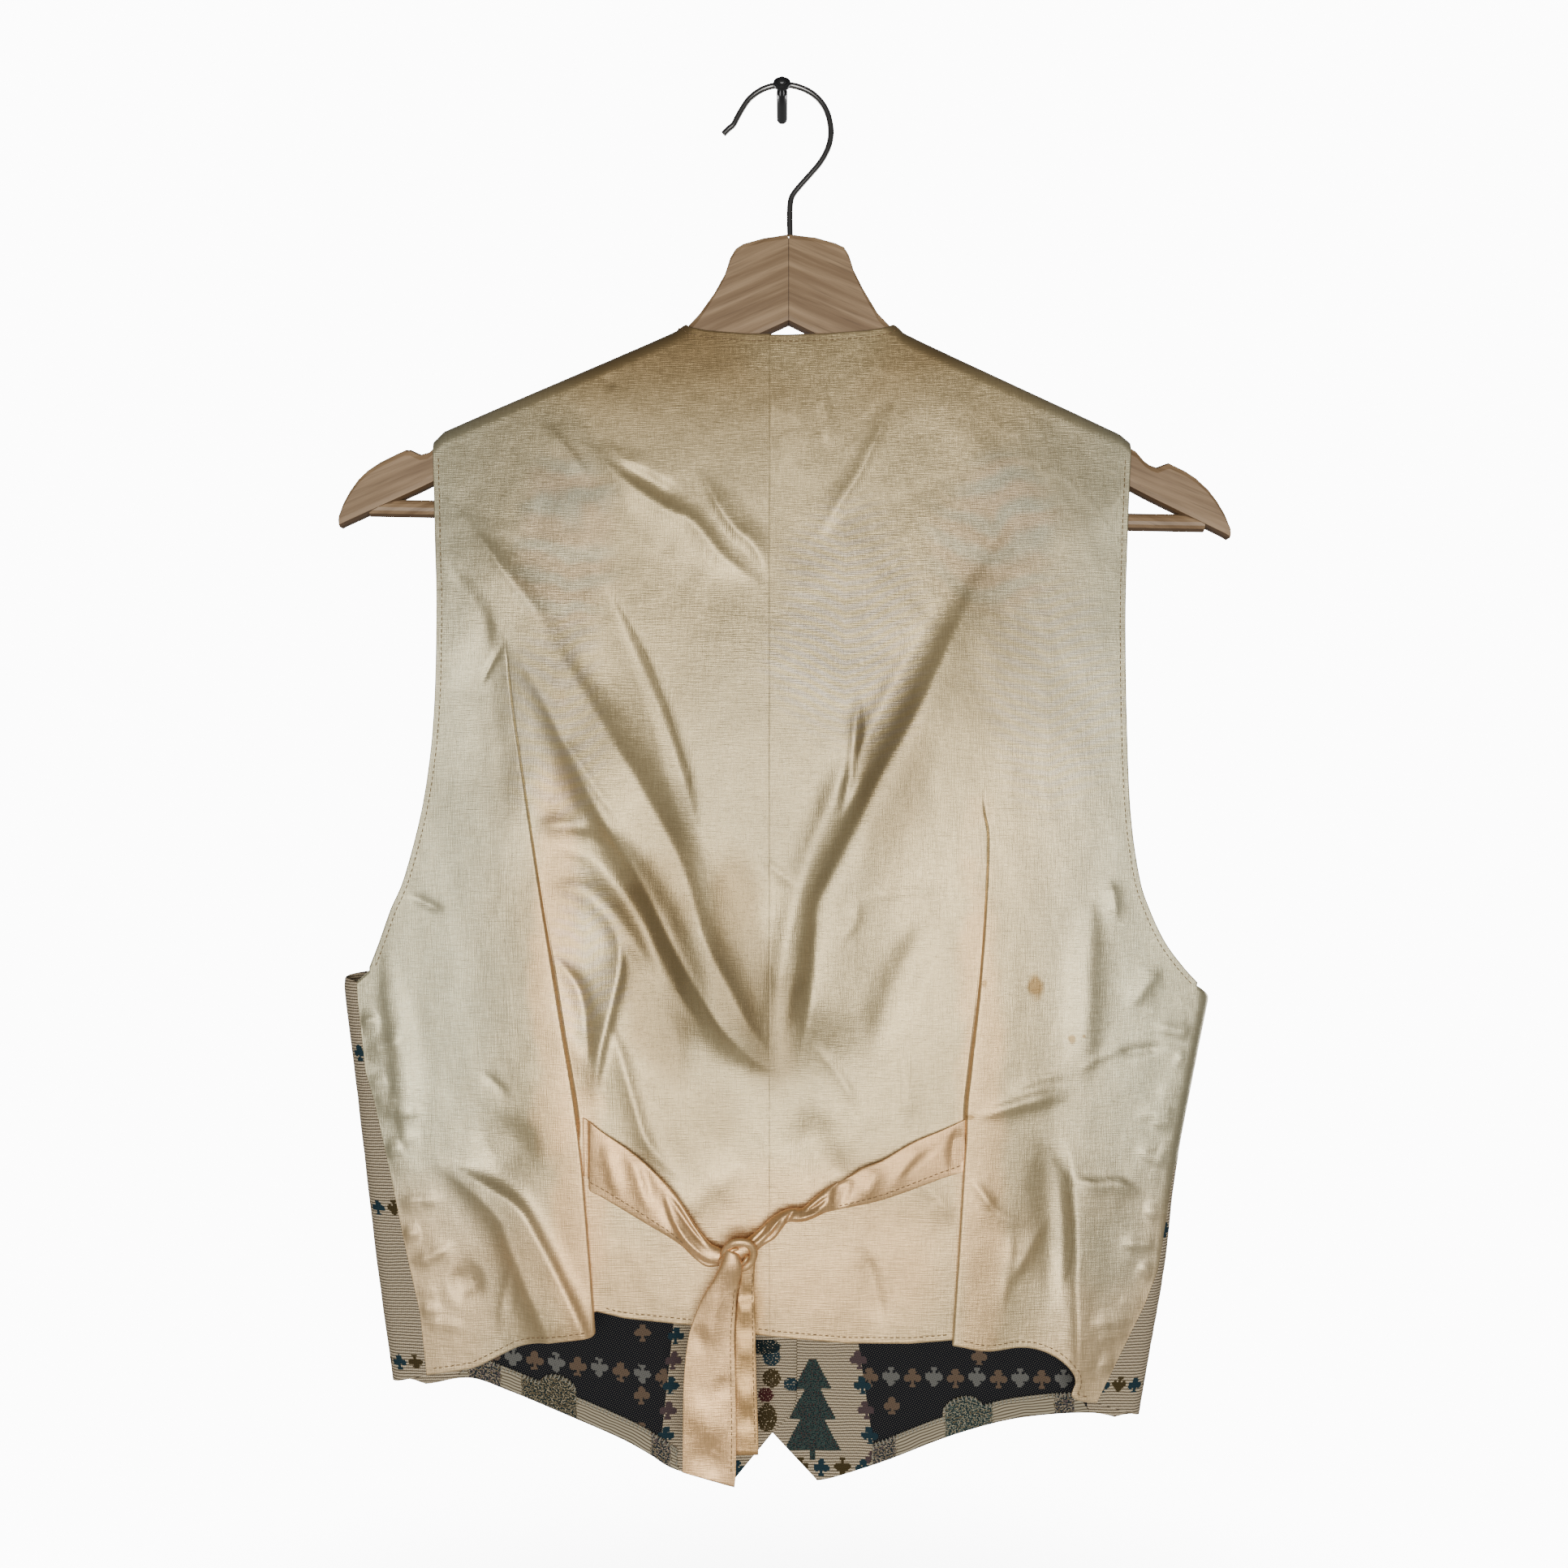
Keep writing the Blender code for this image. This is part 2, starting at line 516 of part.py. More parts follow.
def pleat_points(side, z):
    """Middle line of the dart's S at one row: (out from the dart, height, share of the hem's lift)."""
    opening = smooth_step((TIE_TOP - z) / (TIE_TOP - TIE_FOOT))
    width = PLEAT_START + (PLEAT_WIDTH - PLEAT_START) * smooth_step((TIE_FOOT - z) / (TIE_FOOT - HEM_LEVEL))
    step = pleat_step(side, z)
    r = PLEAT_R
    folded = ((-DART_CLEAR, 0), (width, 0), (width + r, r), (width, 2 * r), (0, 2 * r), (-r, 3 * r),
              (0, 4 * r), (DART_CLEAR, 4 * r))
    points = []
    for order, (fold_out, fold_up) in enumerate(folded):
        share = order / (len(folded) - 1)
        ramp_out = DART_CLEAR * (2 * share - 1)
        ramp_up = step * smooth_step(share)
        points.append((ramp_out + (fold_out - ramp_out) * opening,
                       ramp_up + (fold_up - ramp_up) * opening, 1 - share))
    return points


def pleat_row(side, down):
    """Points and normals of the dart's S at a share down it, without the columns at its two ends."""
    z = float(dart_curve(side)(down)[1])
    line = pleat_points(side, z)
    row = []
    for before, (out, height, share), after in zip(line, line[1:], line[2:]):
        across, up = beside_dart(side, down, out)
        point, normal, sideways = point_and_normal(back_place(side), side, across,
                                                   up + hem_lift(side, z) * share,
                                                   on_side_panel=False, lift=height)
        run, rise = after[0] - before[0], after[1] - before[1]
        turned = normal * run - sideways * rise
        row.append((point, turned / np.linalg.norm(turned)))
    return row


def back_place(side):
    return lambda across, up, **options: back_point(side, across, up, **options)


def panel_rows():
    """Shares down the upper and the lower block of a panel."""
    upper = list(WRAP_ROWS) + list(np.linspace(WRAP_ROWS[-1], 1.0, ARMHOLE_ROWS + 1)[1:])
    lower = list(np.linspace(0.0, FACING_DEPTH, BODY_ROWS + 1)[1:]) + [1.0]
    return [float(v) for v in upper], [float(v) for v in lower]


def back_grid(side):
    """Grid of one back half from the centre seam to the side seam, as (point, normal)."""
    centre_top = back_top_curve(side)
    centre_foot = curve_by_x(side, CENTRE_HEM[side])
    seam_x = CENTRE_BACK_X * side + SEAM_GAP / 2
    centre_line = straight((seam_x, BACK_NECK[side][0][1]), (seam_x, CENTRE_HEM[side][0][1]))
    place = back_place(side)

    def centre_dart(share):
        point = beside_dart(side, share, -DART_CLEAR)
        return point + np.array([0.0, hem_lift(side, point[1])])

    def side_dart(share):
        return beside_dart(side, share, DART_CLEAR)

    def centre_vertex(across, up):
        return point_and_normal(place, side, across, up, on_side_panel=False)[:2]

    def side_vertex(across, up):
        return point_and_normal(place, side, across, up)[:2]

    upper, lower = panel_rows()
    shares = [v * UNDERARM for v in upper] + [UNDERARM + v * (1 - UNDERARM) for v in lower]
    armhole, seam = armhole_curve(side, False), seam_curve(side, False)
    shoulder = shoulder_curve(side, DART[side][0][0] + side * DART_CLEAR, RIDGE[side][-1][0], False)
    across_arm = [side_dart(UNDERARM), armhole(1), seam(0)]
    hem = [(x * side, z) for x, z in SIDE_HEM[side][:-1]]
    hem = [(hem[0][0] + DART_CLEAR, hem[0][1])] + hem[1:] + [tuple(seam(1))]
    blocks = (((shoulder, straight(across_arm[0], across_arm[1]),
                part_of(side_dart, 0, UNDERARM), armhole), upper),
              ((lambda share: along(across_arm, share), lambda share: along(hem, share),
                part_of(side_dart, UNDERARM, 1), seam), lower))
    width = seam(0)[0] - side_dart(UNDERARM)[0]
    columns = [width * share for share in SIDE_COLUMNS] + list(SIDE_SEAM_COLUMNS[side])
    side_rows = two_blocks(blocks, columns, SIDE_EXTRA[side], side_vertex)
    rows = []
    for v, side_row in zip(shares, side_rows):
        row = [centre_vertex(*coons(centre_top, centre_foot, centre_line, centre_dart, u, v))
               for u in centre_stations(side)]
        rows.append(row + pleat_row(side, v) + side_row)
    return rows


def front_grid(side):
    """Grid of one front, from its front edge round to the side seam on the back."""
    neck_x, end_x = NECK_POINT_X[side], RIDGE[side][-1][0]
    edge_line = [(neck_x * side, shoulder_up(side, neck_x, True))]
    edge_line += [(x * side, z) for x, z in FRONT_EDGE[side]]
    top = shoulder_curve(side, neck_x, end_x, True)
    armhole, seam = armhole_curve(side, True), seam_curve(side, True)
    hem = [(x * side, z) for x, z in FRONT_HEM[side]] + [tuple(seam(1))]

    def edge(share):
        return along(edge_line, share)

    def place(across, up):
        return front_point(side, across, up)

    across_arm = [edge(FRONT_UNDERARM), armhole(1), seam(0)]
    upper, lower = panel_rows()
    blocks = (((top, straight(across_arm[0], across_arm[1]), part_of(edge, 0, FRONT_UNDERARM), armhole),
               upper),
              ((lambda share: along(across_arm, share), lambda share: along(hem, share),
                part_of(edge, FRONT_UNDERARM, 1), seam), lower))
    width = seam(0)[0] - across_arm[0][0]
    columns = [width + (FRONT_SEAM_COLUMNS[0] - width) * share for share in FRONT_COLUMNS]
    columns += list(FRONT_SEAM_COLUMNS)
    return two_blocks(blocks, columns, FRONT_EXTRA[side],
                      lambda across, up: point_and_normal(place, -side, across, up)[:2])


def wall(name, material_name, grid, first, last):
    """Closed wall between a grid moved by `first` and by `last` along its normals."""
    numbers = {}
    for r, row in enumerate(grid):
        for c, vertex in enumerate(row):
            if vertex is not None:
                numbers[r, c] = len(numbers)
    middle = np.array([grid[r][c][0] for r, c in numbers])
    normals = np.array([grid[r][c][1] for r, c in numbers])
    size = len(numbers)
    triangles = []
    for r, c in numbers:
        quad = [(r, c), (r + 1, c), (r + 1, c + 1), (r, c + 1)]
        if not all(corner in numbers for corner in quad):
            continue
        quad = [numbers[corner] for corner in quad]
        spans = [np.linalg.norm(middle[quad[i]] - middle[quad[i + 2]]) for i in (0, 1)]
        if spans[1] < spans[0]:
            quad = quad[1:] + quad[:1]
        triangles += [(quad[0], quad[1], quad[2]), (quad[0], quad[2], quad[3])]
    edges = {(a, b) for t in triangles for a, b in zip(t, t[1:] + t[:1])}
    faces = [list(t) for t in triangles] + [[i + size for i in reversed(t)] for t in triangles]
    faces += [[b, a, a + size, b + size] for a, b in sorted(edges) if (b, a) not in edges]
    points = np.concatenate([middle + normals * first, middle + normals * last])
    return add_object(name, material_name, points.tolist(), faces)


def loft(name, material_name, rings, smooth=True):
    """Closed body through rings of equal size, with flat ends."""
    size = len(rings[0])
    points = [tuple(point) for ring in rings for point in ring]
    faces = []
    for ring in range(len(rings) - 1):
        for i in range(size):
            j = (i + 1) % size
            a, b = ring * size, (ring + 1) * size
            faces.append([a + i, a + j, b + j, b + i])
    faces.append(list(range(size)))
    faces.append(list(range((len(rings) - 1) * size, len(rings) * size)))
    return add_object(name, material_name, points, faces, smooth)


def make_backs():
    for side, name in ((LEFT, "back_left"), (RIGHT, "back_right")):
        wall(name, "satin", back_grid(side), -SATIN_WALL / 2, SATIN_WALL / 2)


def make_fronts():
    """Fronts, and the facings that lie on their inner face along the hem."""
    for side, word in ((LEFT, "left"), (RIGHT, "right")):
        grid = front_grid(side)
        wall(f"front_{word}", "tapestry", grid, -TAPESTRY_WALL / 2, TAPESTRY_WALL / 2)
        near = TAPESTRY_WALL / 2 + SEAM_GAP
        strip = [row[:FACING_COLUMNS] for row in grid[-2:]]
        wall(f"facing_{word}", "facing", strip, -near - FACING_WALL, -near)


def ribbon_ring(upper, lower, depth, thickness):
    """Section of a flat band between a point on its upper edge and one on its lower edge."""
    half = thickness / 2
    ring = []
    for share, out in BAND_SECTION:
        x = upper[0] + share * (lower[0] - upper[0])
        z = upper[1] + share * (lower[1] - upper[1])
        ring.append((x, -(depth + out * half), z))
    return ring


def make_ties():
    for side, word in ((LEFT, "left"), (RIGHT, "right")):
        rings = []
        for upper_x, upper_z, lower_x, lower_z, lift, thickness in TIE_BAND[side]:
            middle_x, middle_z = (upper_x + lower_x) / 2, (upper_z + lower_z) / 2
            depth = back_depth(side, middle_x, middle_z, False) + SATIN_WALL / 2 + SEAM_GAP
            rings.append(ribbon_ring((upper_x, upper_z), (lower_x, lower_z),
                                     depth + thickness / 2 + lift, thickness))
        loft(f"tie_band_{word}", "satin_tie", rings)
    front = [ribbon_ring((left, z), (right, z), depth, TAIL_WALL) for z, left, right, depth in TAIL_FRONT]
    last = TAIL_FRONT[-1][3]
    front.append(ribbon_ring(TAIL_FRONT_TIP[0], TAIL_FRONT_TIP[2], last, TAIL_WALL))
    loft("tie_tail_front", "satin_tie", front)
    rear = [ribbon_ring((left, z), (right, z), depth, TAIL_WALL) for z, left, right, depth in TAIL_REAR]
    loft("tie_tail_rear", "satin_tie", rear)


def make_knot():
    """Rounded lump with a turn of the band round its middle."""
    rings = []
    for station in range(KNOT_RINGS):
        share = (station + 0.5) / KNOT_RINGS
        polar = share * math.pi
        wrap = 1 + KNOT_WRAP * math.exp(-((share - 0.5) / KNOT_WRAP_WIDTH) ** 2)
        radius = math.sin(polar) ** KNOT_POWER * wrap
        ring = []
        for i in range(KNOT_SIDES):
            turn = 2 * math.pi * i / KNOT_SIDES
            x, y, z = -math.cos(polar), radius * math.cos(turn), radius * math.sin(turn)
            leant_x = x * math.cos(KNOT_LEAN) - KNOT_SKEW * z * math.sin(KNOT_LEAN)
            leant_z = z * math.cos(KNOT_LEAN) + KNOT_SKEW * x * math.sin(KNOT_LEAN)
            ring.append((KNOT_CENTRE[0] + KNOT_HALF[0] * leant_x, -KNOT_CENTRE[1] + KNOT_HALF[1] * y,
                         KNOT_CENTRE[2] + KNOT_HALF[2] * leant_z))
        rings.append(ring)
    loft("tie_knot", "satin_tie", rings)


def make_buttons():
    """Flat round buttons with a raised rim, just clear of the outer front."""
    turns = [2 * math.pi * i / BUTTON_SIDES for i in range(BUTTON_SIDES)]
    for number in range(BUTTON_COUNT):
        z = BUTTON_TOP_Z - number * BUTTON_PITCH
        seat = front_depth(RIGHT, BUTTON_X, z) + TAPESTRY_WALL / 2 + SEAM_GAP
        rings = [[(BUTTON_X + BUTTON_R * radius * math.cos(turn), seat + BUTTON_H * height,
                   z + BUTTON_R * radius * math.sin(turn)) for turn in turns]
                 for radius, height in BUTTON_PROFILE]
        loft(f"button_{number + 1}", "button", rings)


def arm_foot_z(side, x):
    return APEX_Z - ARM_FOOT_SLOPE[side] * abs(x - MITRE_X)


def board_ring(x, low, high):
    """Rounded rectangle of the board at one x."""
    half = BOARD_HALF
    r = min(table_at(BOARD_ROUND, abs(x)), (high - low) * BOARD_MOST_ROUND)
    ring = []
    for cy, cz, start in ((half - r, high - r, 0), (r - half, high - r, 90), (r - half, low + r, 180),
                          (half - r, low + r, 270)):
        for step in (0, 45, 90):
            angle = math.radians(start + step)
            ring.append((x, cy + r * math.cos(angle), cz + r * math.sin(angle)))
    return ring


def arm_stations(side):
    """x of each section: at the outline's own points, and between them where these lie far apart."""
    xs = [row[0] for row in ARM_TOP[side]]
    xs[0] = MITRE_X + side * SEAM_GAP / 2
    stations = [xs[0]]
    for before, after in zip(xs, xs[1:]):
        pieces = max(1, math.ceil(abs(after - before) / ARM_STEP))
        stations += [before + (after - before) * (i + 1) / pieces for i in range(pieces)]
    return stations


def bar_cutter():
    ends = [Vector((x * MM, 0, z * MM)) for x, z in BAR_ENDS]
    direction = (ends[1] - ends[0]).normalized()
    length = (ends[1] - ends[0]).length + 2 * SOCKET_EXTRA * MM
    middle = (ends[0] + ends[1]) / 2
    made = cylinder("bar_cutter", BAR_R + SOCKET_EXTRA, length, middle, direction)
    made.hide_render = True
    made.display_type = "WIRE"
    return made


def cylinder(name, radius, length, middle, direction):
    mesh = bpy.data.meshes.new(name)
    body = bmesh.new()
    bmesh.ops.create_cone(body, cap_ends=True, segments=ROD_SIDES, radius1=radius * MM,
                          radius2=radius * MM, depth=length)
    body.to_mesh(mesh)
    body.free()
    made = bpy.data.objects.new(name, mesh)
    made.location = middle
    made.rotation_euler = direction.to_track_quat("Z", "Y").to_euler()
    bpy.context.scene.collection.objects.link(made)
    return made


def make_hanger():
    cutter = bar_cutter()
    for side, word in ((LEFT, "left"), (RIGHT, "right")):
        rings = []
        for x in arm_stations(side):
            high = table_at(ARM_TOP[side], x)
            rings.append(board_ring(x, arm_foot_z(side, x), high))
        arm = loft(f"hanger_arm_{word}", "wood", rings)
        socket = arm.modifiers.new("bar_socket", "BOOLEAN")
        socket.operation = "DIFFERENCE"
        socket.object = cutter
    ends = [Vector((x * MM, 0, z * MM)) for x, z in BAR_ENDS]
    direction = (ends[1] - ends[0]).normalized()
    bar = cylinder("hanger_bar", BAR_R, (ends[1] - ends[0]).length, (ends[0] + ends[1]) / 2, direction)
    bar.data.materials.append(material("wood"))
    bar.data.shade_smooth()


def make_hook():
    """Bent wire, its foot standing on the two boards' mitre."""
    curve = bpy.data.curves.new("hanger_hook", "CURVE")
    curve.dimensions = "3D"
    curve.bevel_depth = WIRE_R * MM
    curve.bevel_resolution = 2
    curve.use_fill_caps = True
    spline = curve.splines.new("POLY")
    spline.points.add(len(HOOK_POINTS) - 1)
    for point, (x, z) in zip(spline.points, HOOK_POINTS):
        point.co = (x * MM, 0, z * MM, 1)
    curve.materials.append(material("steel"))
    made = bpy.data.objects.new("hanger_hook", curve)
    bpy.context.scene.collection.objects.link(made)


def make_peg():
    """Headed peg: the hook's wire lies in the groove behind its collar."""
    turns = [2 * math.pi * i / PEG_SIDES for i in range(PEG_SIDES)]
    rings = [[(PEG_X + half_width * math.cos(turn), y, z + half_height * math.sin(turn)) for turn in turns]
             for y, z, half_width, half_height in PEG_RINGS]
    loft("wall_peg", "peg_black", rings)


def main():
    for old in list(bpy.data.objects):
        bpy.data.objects.remove(old, do_unlink=True)
    make_backs()
    make_fronts()
    make_ties()
    make_knot()
    make_buttons()
    make_hanger()
    make_hook()
    make_peg()


main()
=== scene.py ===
"""Looks of a waistcoat that hangs on a wooden hanger with its satin back to the viewer.

Everything is worked out in millimetres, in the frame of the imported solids, and turned into metres
where a mesh is made. Cloth is laid out flat, as (across, up) from the middle of the body, and bent
over the hanger's top edge and round the fold at each side.
"""
import math

import bpy
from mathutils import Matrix, Vector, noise
import numpy as np


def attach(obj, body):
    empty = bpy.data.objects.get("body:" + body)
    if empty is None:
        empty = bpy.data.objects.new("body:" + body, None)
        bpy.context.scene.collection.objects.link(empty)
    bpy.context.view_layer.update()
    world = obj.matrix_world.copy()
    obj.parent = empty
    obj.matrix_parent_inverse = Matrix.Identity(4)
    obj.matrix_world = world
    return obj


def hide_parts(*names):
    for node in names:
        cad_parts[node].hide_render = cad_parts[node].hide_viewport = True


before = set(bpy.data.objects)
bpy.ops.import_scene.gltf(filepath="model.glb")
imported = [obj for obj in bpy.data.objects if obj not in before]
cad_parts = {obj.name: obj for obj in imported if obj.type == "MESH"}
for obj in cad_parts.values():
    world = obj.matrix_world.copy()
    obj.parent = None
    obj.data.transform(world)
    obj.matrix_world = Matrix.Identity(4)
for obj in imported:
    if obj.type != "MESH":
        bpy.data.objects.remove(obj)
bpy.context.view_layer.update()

MM = 0.001
TINY = 1e-9
LEFT, RIGHT = -1, 1
SIDE_WORD = {LEFT: "left", RIGHT: "right"}

# Camera and studio, in metres
CAMERA_AT = (0.0, -0.830, -0.3454)
LENS, SENSOR = 38.4, 36.0
FLOOR_Z, FLOOR_SIZE = -1.05, 2.0

# Cloth sizes
SATIN_THICK, TAPESTRY_THICK, BAND_THICK = 0.7, 1.2, 0.6
BEND = 7.0
QUARTER = BEND * math.pi / 2
SEAM_PAST_TOP = 0.15
CENTRE_BACK_X = -7.2
BACK_BULGE, FRONT_BULGE = 3.6, 7.0
BULGE_TOP, BULGE_FULL = -170.0, -330.0
LAP_STEP, LAP_HALF, LAP_BLEND, LAP_FADE = 1.1, 24.0, 40.0, 60.0
TIE_TOP, TIE_FOOT, HEM_LEVEL = -508.0, -539.0, -612.0

# The dart's pleat: an S of three layers that opens below the tie
PLEAT_R = 0.8
PLEAT_STEP = 4 * PLEAT_R
PLEAT_WIDTH, PLEAT_START, PLEAT_FADE = 9.0, 1.4, 46.0
DART_CLEAR = 1.2

# Ridge of the cloth over the hanger, from the middle outwards: (x, z)
NECK_POINT_X = {LEFT: -51.0, RIGHT: 56.5}
RIDGE = {
    LEFT: ((2, -73), (-24, -81), (-34, -102), (-42, -111.5), (NECK_POINT_X[LEFT], -119.4),
           (-66, -127), (-168, -171), (-173, -176)),
    RIGHT: ((2, -73), (30, -80), (39, -100), (46, -111), (NECK_POINT_X[RIGHT], -119.4),
            (68, -126.6), (166, -172.3), (171, -176.5)),
}
# Outline of the side fold below the armhole: (z, x)
SIDE_FOLD = {
    LEFT: ((-441, -217), (-450, -217), (-488, -212.3), (-537, -206.6), (-585, -200.9),
           (-646, -192.5)),
    RIGHT: ((-452, 210), (-488, 202.8), (-537, 193.7), (-585, 188), (-633, 179.6), (-663, 174.5)),
}
# How far round from the fold's outermost line, towards the back, the side seam runs: (z, inset)
SEAM_INSET = {
    LEFT: ((-441, 11.2), (-487, 10.4), (-501, 13.0), (-534, 16.6), (-581, 20.9), (-605, 23.2),
           (-636, 22.2)),
    RIGHT: ((-451, -1.5), (-488, -1.5), (-528, 0.0), (-537, 5.0), (-584, 8.1), (-602, 11.9),
            (-614, 15.8), (-628, 20.2), (-650, 27.2)),
}
SEAM_TOP = {LEFT: -441.0, RIGHT: -451.0}
SEAM_FOOT = {LEFT: -635.8, RIGHT: -649.4}
# Armhole edges, shoulder to underarm: (x, z)
BACK_ARMHOLE = {
    LEFT: ((-171.5, -224), (-170.6, -256), (-171.2, -295), (-173.3, -327), (-178.1, -359),
           (-186.4, -391), (-193.2, -407), (-198.8, -422.7), (-203.8, -435.5)),
    RIGHT: ((168.9, -224), (167.7, -264), (168.1, -311), (170.1, -359), (174.5, -391),
            (179.6, -407), (187.2, -423), (196, -435), (203.3, -443)),
}
FRONT_ARMHOLE = {
    LEFT: ((-166, -224), (-161, -265), (-159, -310), (-163, -350), (-172, -385), (-186, -413),
           (-204, -437)),
    RIGHT: ((163, -224), (158, -265), (156, -310), (160, -350), (169, -385), (181, -416),
            (196, -440)),
}
# Dart lines, carried on straight up to the shoulder: (x, z)
DART = {
    LEFT: ((-140, -158.5), (-136.5, -275.6), (-125.4, -359), (-109.5, -458), (-101.6, -506),
           (-99, -540), (-93.2, -615.2)),
    RIGHT: ((110, -147.5), (104, -250), (98, -346), (100, -370), (99.2, -398.6), (95.6, -444.3),
            (90.9, -486), (88.9, -506), (88.6, -537), (83.3, -619.9)),
}
DART_TOP = {LEFT: -276.0, RIGHT: -347.0}
HEM_RISE = {LEFT: 11.4, RIGHT: 2.0}
BACK_NECK = {LEFT: ((-18, -124.0), (-38, -122.4), (-46, -120.8)),
             RIGHT: ((1.6, -124.4), (21.5, -123.8), (41.4, -122.3), (51.5, -120.6))}
CENTRE_HEM = {
    LEFT: ((CENTRE_BACK_X, -615.8), (-46.3, -610.4), (-79.2, -607.1), (-93.2, -603.8)),
    RIGHT: ((CENTRE_BACK_X, -615.8), (31.3, -619.2), (62.6, -619.4), (83.3, -617.9)),
}
SIDE_HEM = {
    LEFT: ((-93.2, -615.2), (-114, -617.7), (-128.4, -620.5), (-138, -625), (-150, -631),
           (-156.4, -632.8), (-175.4, -635.8)),
    RIGHT: ((83.3, -619.9), (99.8, -622.8), (114.8, -621.5), (124.8, -622.8), (134.5, -627.3),
            (141.4, -633.8), (143, -639.4), (141.2, -645.6), (146.4, -648.6), (154, -649.4)),
}
# Fronts: neck edge and cutaway down to the point, then the hem out to the side fold: (x, z)
FRONT_EDGE = {
    LEFT: ((-46, -160), (-30, -250), (-4, -330), (6, -356), (6.1, -655), (3.5, -663),
           (-3.7, -669.3), (-27, -697.6)),
    RIGHT: ((50, -160), (30, -250), (-2, -330), (-16, -356), (-16, -655), (-14, -664),
            (-6.5, -672), (17, -697)),
}
FRONT_HEM = {
    LEFT: ((-27, -697.6), (-54.5, -691), (-68, -683), (-83, -674.7), (-117, -659.5),
           (-138.4, -650.1), (-158, -643), (-178.5, -645.5), (-186, -643)),
    RIGHT: ((17, -697), (25.8, -695.1), (50, -687), (81, -674.7), (107.3, -666.5),
            (128.6, -662.4), (153.2, -660.3), (165, -661.6), (168, -661)),
}
UNDERARM, FRONT_UNDERARM = 0.61, 0.59

